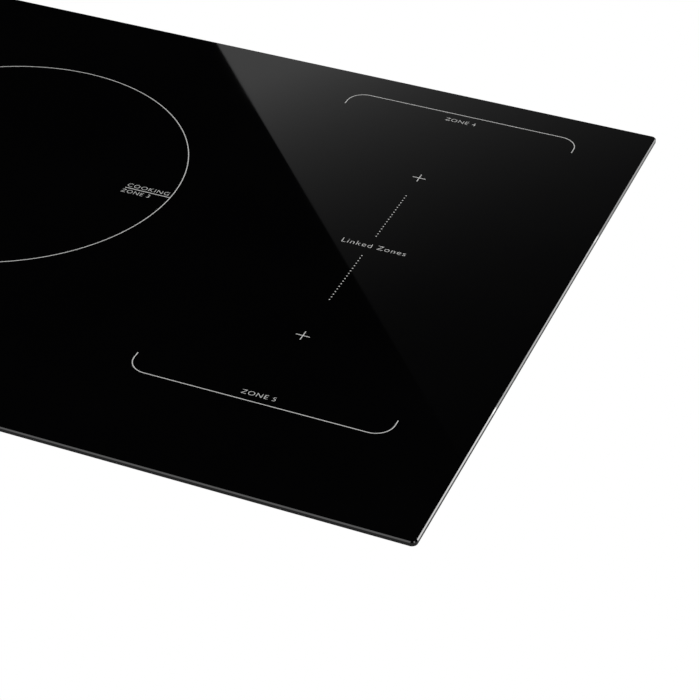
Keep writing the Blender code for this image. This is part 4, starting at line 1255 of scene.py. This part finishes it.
def plug_socket(at, ways, along_y=False):
    """A connector with a row of square holes."""
    half = (1.3 * ways + 0.8) * MM
    piece = box_piece("part", (-half, -2.8 * MM, 0), (half, 2.8 * MM, 8 * MM))
    for i in range(ways):
        x = (i - (ways - 1) / 2) * 2.6 * MM
        cut(piece, box_piece("hole", (x - 0.9 * MM, -1.2 * MM, 3 * MM),
                             (x + 0.9 * MM, 1.2 * MM, 9 * MM)))
    return soften(laid(piece, at, QUARTER if along_y else 0, "Z"), 0.2 * MM)


print("component makers ready")

# %% [markdown]
# The mains is rectified at the rear of each board, smoothed by the yellow capacitor, and switched
# by the transistors on the sink, whose three legs stand in the board. The light capacitors tune the
# coils. Places are measured from the middle of the board, outwards and to the back, so the right
# board mirrors the left.

# %% Components of the power boards
CHIPS = [(-62, -66, 12, 12), (-88, -58, 9, 6), (-64, -40, 7, 5), (-92, -34, 6, 5), (-60, 20, 8, 6)]
SMALL_PARTS = 46
SMALL_PART_SIZE = (2.2, 1.3, 0.7)
TRANSISTOR_ROWS = (-40, -18, 4, 26)
LEG_SPREAD = (-4.4, 0, 4.4)
random_small = random.Random(7)     # its own seed, so the parts lie the same in every run

for side, outward in SIDES.items():
    low, high, centre = box_of(f"power_board_{side}")
    centre.z = high.z

    def spot(out, back):
        return centre + Vector((outward * out, back, 0)) * MM

    blocks(f"tuning_capacitors_{side}", "capacitor_case", [spot(62, y) for y in (-66, -48, -30)],
           (30, 13, 17.5), 0.9)
    blocks(f"smoothing_capacitor_{side}", "capacitor_wrap", [spot(68, -2)], (34, 20, 19), 1.4)
    cans = [capacitor_can(spot(105, y), 6.2, 18) for y in (-68, -52, -36, -20)]
    cans += [capacitor_can(spot(-108, y), 4.0, 12) for y in (-70, -58)]
    group(f"capacitor_cans_{side}", "capacitor_sleeve", cans)
    blocks(f"relays_{side}", "relay_case", [spot(104, y) for y in (12, 34, 58)], (20, 16, 16), 0.7)
    choke(f"choke_core_{side}", f"choke_wire_{side}", spot(64, 50), 13, 5, 22)
    sink_low, sink_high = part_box(f"heat_sink_{side}")
    feet = [(Vector((x + out * 2.7 * MM, centre.y + back * MM, centre.z)), out)
            for x, out in ((sink_low.x, -1), (sink_high.x, 1)) for back in TRANSISTOR_ROWS]
    blocks(f"transistors_{side}", "chip_resin", [at + Vector((0, 0, 3 * MM)) for at, out in feet],
           (4.6, 14, 14.5), 0.4)
    blocks(f"transistor_legs_{side}", "passivated_zinc",
           [at + Vector((out * 1.2, y, 0)) * MM for at, out in feet for y in LEG_SPREAD],
           (0.8, 1.1, 3.2), 0.1)
    chips = [standing_box(spot(out, back), (wide, deep, 1.5), 0.15)
             for out, back, wide, deep in CHIPS]
    for i in range(SMALL_PARTS):
        out = random_small.uniform(-118, -48)
        back = random_small.uniform(-20, 82)
        chips.append(standing_box(spot(out, back), SMALL_PART_SIZE, 0.08))
    group(f"chips_{side}", "chip_resin", chips)
    group(f"sockets_{side}", "connector_nylon",
          [plug_socket(spot(-66, 68), 4), plug_socket(spot(-98, 68), 6),
           plug_socket(spot(-113, 20), 5, True), plug_socket(spot(0, 82), 3)])
    print(side, "board filled")

# %% [markdown]
# The filter board keeps the mains clean: a double-wound choke, three large capacitors, a blue
# varistor, a fuse in its clips and the relays that switch the whole hob.

# %% Components of the filter board
filter_high, filter_centre = box_of("filter_board")[1:]


def on_filter(right, back, up=0):
    return Vector((*filter_centre.xy, filter_high.z)) + Vector((right, back, up)) * MM


choke("filter_choke_core", "filter_choke_wire", on_filter(0, 10), 18, 6.5, 26)
blocks("filter_capacitors", "capacitor_wrap",
       [on_filter(-32, -45), on_filter(-32, -68), on_filter(32, 62)], (26, 15, 19), 1.2)
group("filter_relay", "relay_case", [standing_box(on_filter(28, -55), (28, 24, 17), 0.8),
                                     standing_box(on_filter(-34, 68), (20, 16, 16), 0.8)])
varistor = soften(cylinder_piece("varistor", (0, 0), 7 * MM, -2 * MM, 2 * MM, 28), 1.2 * MM, 3)
finish_piece(laid(varistor, on_filter(0, -30, 10), QUARTER, "X"), "varistor_lacquer")
fuse = cylinder_piece("fuse", (0, 0), 3 * MM, -10 * MM, 10 * MM, 20)
edit(fuse, "FACE", lambda f: abs(f.normal.z) > 0.9)
bpy.ops.mesh.inset(thickness=0.8 * MM, depth=-0.4 * MM)
soften(done(fuse), 0.3 * MM)
finish_piece(laid(fuse, on_filter(34, 30, 5), QUARTER, "X"), "connector_nylon")
blocks("fuse_clips", "passivated_zinc", [on_filter(34, 23), on_filter(34, 37)], (8, 1.6, 7), 0.2)
group("mains_posts", "connector_nylon",
      [plug_socket(on_filter(x, 90), 2) for x in (-30, -10, 10, 30)])
print("filter board filled")

# %% [markdown]
# ## The blowers
# Each blower turns a moulded impeller. A blade is a thin block, divided along its length and bent
# with an applied Simple Deform, then copied round the hub. A flat ring at the bottom ties the
# blades together, as in the real moulding.

# %% Impellers
BLADES = 15
BLADE_THICKNESS = 1.0 * MM
BLADE_BEND = 55.0              # degrees from root to tip
BLADE_LEAN = 24.0              # degrees from straight out
HUB_SHARE = 0.40               # these are shares of the impeller's radius
BORE_SHARE = 0.72
BLADE_SHARE = 0.62

for side in SIDES:
    node = f"fan_impeller_{side}"
    low, high, centre = box_of(node)
    radius = (high.x - low.x) / 2
    hub_radius = HUB_SHARE * radius
    hub = cylinder_piece("hub", centre, hub_radius, low.z, high.z, 48)
    edit(hub, "FACE", faces_up)
    bpy.ops.mesh.inset(thickness=0.3 * hub_radius, depth=0)
    extrude((0, 0, -1.2 * MM))
    bpy.ops.mesh.inset(thickness=0.25 * hub_radius, depth=0)
    soften(done(hub), 0.5 * MM, 3)
    rim = cylinder_piece("rim", centre, radius, low.z, low.z + 1.2 * MM, 64)
    cut(rim, cylinder_piece("bore", centre, BORE_SHARE * radius, low.z - MM, low.z + 3 * MM, 64))
    soften(rim, 0.3 * MM)
    length = BLADE_SHARE * radius
    blade = box_piece("blade", (-length / 2, -BLADE_THICKNESS / 2, low.z + 0.3 * MM),
                      (length / 2, BLADE_THICKNESS / 2, high.z - 0.8 * MM))
    edit(blade, "EDGE", edge_runs(0))
    bpy.ops.mesh.subdivide(number_cuts=7)
    modify(done(blade), "SIMPLE_DEFORM", deform_method="BEND", deform_axis="Z",
           angle=math.radians(BLADE_BEND))
    laid(soften(blade, 0.2 * MM), (centre.x + hub_radius + 0.46 * length, centre.y, 0),
         math.radians(BLADE_LEAN), "Z")
    blades = round_copies(blade, "blades", centre, BLADES)
    wheel = joined(f"blower_wheel_{side}", [blades, rim, hub])
    finish_piece(wheel, "fan_plastic", node, body=f"impeller_{side}")
    print(wheel.name, "has", BLADES, "blades on a", round(2 * radius / MM), "mm wheel")

# %% [markdown]
# ## The controls
# The control board touches the glass from below. Round copper pads feel the finger, and black
# display blocks shine through the glass.

# %% Touch pads and displays
PAD_RADIUS = 4.6 * MM
PAD_HEIGHT = 0.15 * MM
PAD_HALF = (5 * MM, 3 * MM)
DISPLAYS = (-96, -74, -52, 84, 106)
UNDERSIDE_CHIPS = ((-20, 0, 12), (40, 5, 7), (90, -6, 6))    # right, back and width

low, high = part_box("control_board")
control_y = (control_low.y + control_high.y) / 2
pads = [cylinder_piece("pad", (x, NUMBER_Y + 2 * MM), PAD_RADIUS, high.z, high.z + PAD_HEIGHT, 28)
        for x in [POWER_X + i * ZONE_PITCH for i in range(6)] + list(SIGN_X.values())]
for i in range(10):
    x = SCALE_START + i * SCALE_PITCH
    pads.append(box_piece("pad", (x - PAD_HALF[0], SCALE_Y - PAD_HALF[1], high.z),
                          (x + PAD_HALF[0], SCALE_Y + PAD_HALF[1], high.z + PAD_HEIGHT)))
finish_piece(soften(joined("touch_pads", pads), 0.04 * MM, 1), "brass")
blocks("display_blocks", "relay_case",
       [(x * MM, control_y - 1 * MM, high.z - 0.1 * MM) for x in DISPLAYS], (14, 5.5, 0.4), 0.1)
group("control_chips", "chip_resin",
      [standing_box((x * MM, control_y + back * MM, low.z - 1.6 * MM), (wide, wide, 1.6), 0.15)
       for x, back, wide in UNDERSIDE_CHIPS])
print("control board filled")

# %% [markdown]
# ## Screws
# All screws are pan heads with a cross recess. The head is a short cylinder with a rounded top,
# the recess is cut by two crossed blocks, and the thread is the shank divided into rings, with
# every other ring drawn in. Each screw is made upright and then laid along its own axis.

# %% Screws
THREAD_PITCH = 0.9 * MM
THREAD_DEPTH = 0.84            # a drawn-in ring's radius against the shank's
SHANK_START = 0.2 * MM         # inside the head
CASING_HEAD = 2.0 * MM
CASING_SHANK = 1.45 * MM
CLAMP_HEAD = 2.7 * MM
CLAMP_SHANK = 1.95 * MM


def screw(name, head_radius, head_height, shank_radius, length):
    """A screw along Z, with its head above 0 and its shank below."""
    head = soften(cylinder_piece("head", (0, 0), head_radius, 0, head_height, 40),
                  0.35 * head_height, 4)
    slot_half, reach = 0.13 * head_radius, 0.62 * head_radius
    for half_x, half_y in ((slot_half, reach), (reach, slot_half)):
        cut(head, box_piece("recess", (-half_x, -half_y, 0.35 * head_height),
                            (half_x, half_y, 2 * head_height)))
    shank = cylinder_piece("shank", (0, 0), shank_radius, -length, SHANK_START, 20)
    rings = 2 * int(length / THREAD_PITCH)
    edit(shank, "EDGE", edge_runs(2))
    bpy.ops.mesh.subdivide(number_cuts=rings - 1)
    step = (length + SHANK_START) / rings
    edit(shank, "VERT", lambda v: round((v.co.z + length) / step) % 2 == 1)
    bpy.ops.transform.resize(value=(THREAD_DEPTH, THREAD_DEPTH, 1), center_override=(0, 0, 0))
    return joined(name, [head, smooth(done(shank), 25)])


for side, outward in SIDES.items():
    for end in ENDS:
        node = f"casing_screw_{side}_{end}"
        low, high, centre = box_of(node)
        face_x = low.x + CASING_HEAD if outward < 0 else high.x - CASING_HEAD
        piece = screw(f"pan_head_screw_{side}_{end}", (high.y - low.y) / 2, CASING_HEAD,
                      CASING_SHANK, high.x - low.x - CASING_HEAD)
        laid(piece, (face_x, centre.y, centre.z), outward * QUARTER, "Y")
        finish_piece(piece, "passivated_zinc", node)
        node = f"clamp_screw_{end}_{side}"
        low, high, centre = box_of(node)
        piece = screw(f"clamp_pan_head_{end}_{side}", (high.x - low.x) / 2, CLAMP_HEAD,
                      CLAMP_SHANK, high.z - low.z - CLAMP_HEAD)
        laid(piece, (centre.x, centre.y, low.z + CLAMP_HEAD), math.pi, "X")
        finish_piece(piece, "passivated_zinc", node)
print("screws made")

# %% [markdown]
# ## The leads
# Each coil's two leads come from the outside of its winding, drop past the edge of the coil plate
# and go to the power board. They are held at both ends by parts that move apart, because the coil
# plate is sprung, so they are attached to neither body. A lead's line goes through a few chosen
# points, and its corners are rounded by a Catmull-Rom curve.

# %% Helpers for leads
LEAD_STEPS = 8


def flowing(points):
    """A smooth line through chosen points."""
    points = [Vector(p) for p in points]
    padded = [2 * points[0] - points[1]] + points + [2 * points[-1] - points[-2]]
    line = []
    for a, b, c, d in zip(padded, padded[1:], padded[2:], padded[3:]):
        for i in range(LEAD_STEPS):
            t = i / LEAD_STEPS
            line.append(0.5 * (2 * b + (c - a) * t + (2 * a - 5 * b + 4 * c - d) * t ** 2
                               + (3 * b - a - 3 * c + d) * t ** 3))
    return line + [points[-1]]


def lead(name, points, radius, look, body="casing"):
    return finish_piece(wire_along(name, flowing(points), radius), look, body=body,
                        slot="silicone")


board_top = {side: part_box(f"power_board_{side}")[1].z for side in SIDES}
print("lead helpers ready")

# %% Coil leads
LEAD_RADIUS = 1.3 * MM
LEAD_SPACING = 3.2 * MM
LEAD_ROOT = 12 * MM            # height where the board's end of a lead stops moving
EDGE_CLEAR = 3 * MM            # from the coil plate's edge to the lane of its leads
SINK_CLEAR = 14 * MM           # from the heat sink to the lane of the leads beside it
sink_low, sink_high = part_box("heat_sink_left")
plate_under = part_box("coil_plate_left")[0].z

for coil, plate in COILS.items():
    end = coil_ends[coil]
    inward = -1 if coil == "centre" else -SIDES[plate]
    board_side = "right" if plate == "right" else "left"
    plate_low, plate_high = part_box(f"coil_plate_{plate}")
    drop_x = (plate_high.x if inward > 0 else plate_low.x) + inward * EDGE_CLEAR
    near_x = drop_x + inward * EDGE_CLEAR
    lane = (middle(f"power_board_{board_side}").x
            + inward * ((sink_high.x - sink_low.x) / 2 + SINK_CLEAR))
    for i, look in enumerate(("white_lead", "red_lead")):
        y = end.y + (i - 0.5) * LEAD_SPACING
        route = [(end.x - inward * 2 * MM, y, end.z), (drop_x - inward * 5 * MM, y, end.z - 1 * MM),
                 (drop_x + inward * 2 * MM, y, plate_under + 1 * MM)]
        if coil == "centre":
            route += [(near_x, y, LEAD_ROOT), (near_x, y, board_top[board_side])]
        else:
            board_y = min(y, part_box(f"power_board_{board_side}")[1].y - 12 * MM - i * LEAD_SPACING)
            if board_y < y:
                route += [(near_x, y - 12 * MM, sink_high.z + 2.2 * MM),
                          (lane, board_y + 14 * MM, sink_high.z + 1.6 * MM)]
            else:
                route.append((lane - inward * 8 * MM, y, sink_high.z + 2.2 * MM))
            route += [(lane, board_y, LEAD_ROOT), (lane, board_y, board_top[board_side])]
        piece = lead(f"coil_lead_{coil}_{i + 1}", route, LEAD_RADIUS, look, None)
        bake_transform(piece)
    print(coil, "has two leads")

# %% [markdown]
# The mains leads run from the terminals along the back of the casing to the filter board, two
# thinner pairs feed the blowers, and a flat ribbon joins the controls to the left power board.

# %% Mains leads
terminal = middle("terminal_block")
housing_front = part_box("terminal_housing")[0].y
lane_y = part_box("fan_housing_right")[1].y + 11 * MM
floor_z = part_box("casing_tray")[0].z + 3.4 * MM

for i, look in enumerate(("white_lead", "red_lead", "cover_plastic")):
    x = terminal.x + (i - 1) * 12 * MM
    lane = lane_y + (i - 1) * 3.4 * MM
    post_x = filter_high.x + (6 * i - 24) * MM
    lead(f"mains_lead_{i + 1}",
         [(x, housing_front - 3 * MM, terminal.z), (x - 4 * MM, lane + 6 * MM, 8 * MM),
          (x - 24 * MM, lane, floor_z), (0.5 * (x + filter_high.x), lane, floor_z),
          (filter_high.x + 22 * MM, lane - 10 * MM, floor_z),
          (post_x, filter_high.y + 12 * MM, 9 * MM),
          (post_x - 10 * MM, filter_high.y - 8 * MM, filter_high.z + 9 * MM)], 1.5 * MM, look)
print("mains leads in a lane at Y", round(lane_y, 4))

# %% Blower leads and control ribbon
RIBBON_WIRES = 10
RIBBON_PITCH = 1.5 * MM

for side, outward in SIDES.items():
    low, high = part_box(f"fan_housing_{side}")
    board = middle(f"power_board_{side}")
    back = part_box(f"power_board_{side}")[1].y
    edge = low.x if outward > 0 else high.x
    for i, look in enumerate(("red_lead", "cover_plastic")):
        x = board.x + outward * -66 * MM + (i - 0.5) * 2.6 * MM
        lead(f"blower_lead_{side}_{i + 1}",
             [(edge - outward * 0.2 * MM, low.y + 30 * MM, 16 * MM),
              (edge - outward * 9 * MM, low.y + (22 + 2 * i) * MM, 14 * MM),
              (x, back + 6 * MM, 15 * MM), (x, board.y + 68 * MM, board_top[side] + 7.6 * MM)],
             0.8 * MM, look)
ribbon = []
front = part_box("power_board_left")[0].y
for i in range(RIBBON_WIRES):
    x = middle("power_board_left").x + 96 * MM + i * RIBBON_PITCH
    ribbon.append(wire_along("ribbon_wire", flowing(
        [(x, front + 6 * MM, board_top["left"] + 1.0 * MM), (x, front - 12 * MM, 8 * MM),
         (x + 4 * MM, control_high.y + 16 * MM, 14 * MM),
         (x + 8 * MM, control_high.y + 3.5 * MM, 27 * MM),
         (x + 8 * MM, control_high.y + 2.5 * MM, control_low.z + 6 * MM)]), 0.72 * MM, 2))
finish_piece(smooth(joined("control_ribbon", ribbon), 60), "white_lead")
print("blower leads and a ribbon of", RIBBON_WIRES, "wires")

# %% [markdown]
# ## The outside of the casing
# The casing's folded walls are spot-welded to the strips inside them, which leaves shallow round
# domes in a row, and the type plate at the back is a bare sheet of foil, left blank here. The
# blower's motor shows as a round boss with a plain label on top of its case.

# %% Welds and type plate
WELD_RADIUS = 2.2 * MM
WELD_HEIGHT = 0.25 * MM
WELD_PITCH = 60 * MM
PLATE_X = (-0.330, -0.262)
PLATE_Z = (8 * MM, 26 * MM)
FOIL = 0.12 * MM

tray_low, tray_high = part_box("casing_tray")
weld_z = tray_high.z - 6.5 * MM
places = [((i * WELD_PITCH, y, weld_z), (0, facing, 0)) for i in range(-6, 7)
          for y, facing in ((tray_low.y, -1), (tray_high.y, 1))]
places += [((x, i * WELD_PITCH + 12 * MM, weld_z), (facing, 0, 0)) for i in (-3, -1, 0, 1, 3)
           for x, facing in ((tray_low.x, -1), (tray_high.x, 1))]
welds = []
for place, facing in places:
    weld = soften(cylinder_piece("weld", (0, 0), WELD_RADIUS, -0.1 * MM, WELD_HEIGHT, 20), 0.2 * MM)
    turn = Vector((0, 0, 1)).rotation_difference(Vector(facing)).to_matrix().to_4x4()
    weld.data.transform(Matrix.Translation(place) @ turn)
    welds.append(weld)
group("spot_welds", "galvanised_spangle", welds)

foil = box_piece("blank_type_plate", (PLATE_X[0], tray_high.y, PLATE_Z[0]),
                 (PLATE_X[1], tray_high.y + FOIL, PLATE_Z[1]))
edit(foil, "EDGE", edge_runs(1))
bpy.ops.mesh.bevel(offset=1.5 * MM, segments=4, affect="EDGES")
finish_piece(smooth(done(foil)), "blank_label")
print(len(welds), "welds and a blank type plate")

# %% Motor bosses
BOSS_RADIUS = 17 * MM
LABEL_RADIUS = 13.5 * MM

for side in SIDES:
    low, high, centre = box_of(f"fan_housing_{side}")
    boss = cylinder_piece(f"motor_boss_{side}", centre, BOSS_RADIUS, high.z - 0.1 * MM,
                          high.z + 1.2 * MM, 56)
    edit(boss, "FACE", faces_up)
    bpy.ops.mesh.inset(thickness=2.5 * MM, depth=-0.5 * MM)
    finish_piece(soften(done(boss), 0.4 * MM), "fan_plastic")
    label = cylinder_piece(f"motor_label_{side}", centre, LABEL_RADIUS, high.z + 0.6 * MM,
                           high.z + 0.85 * MM, 48)
    finish_piece(smooth(label), "blank_label")
print("two motor bosses")
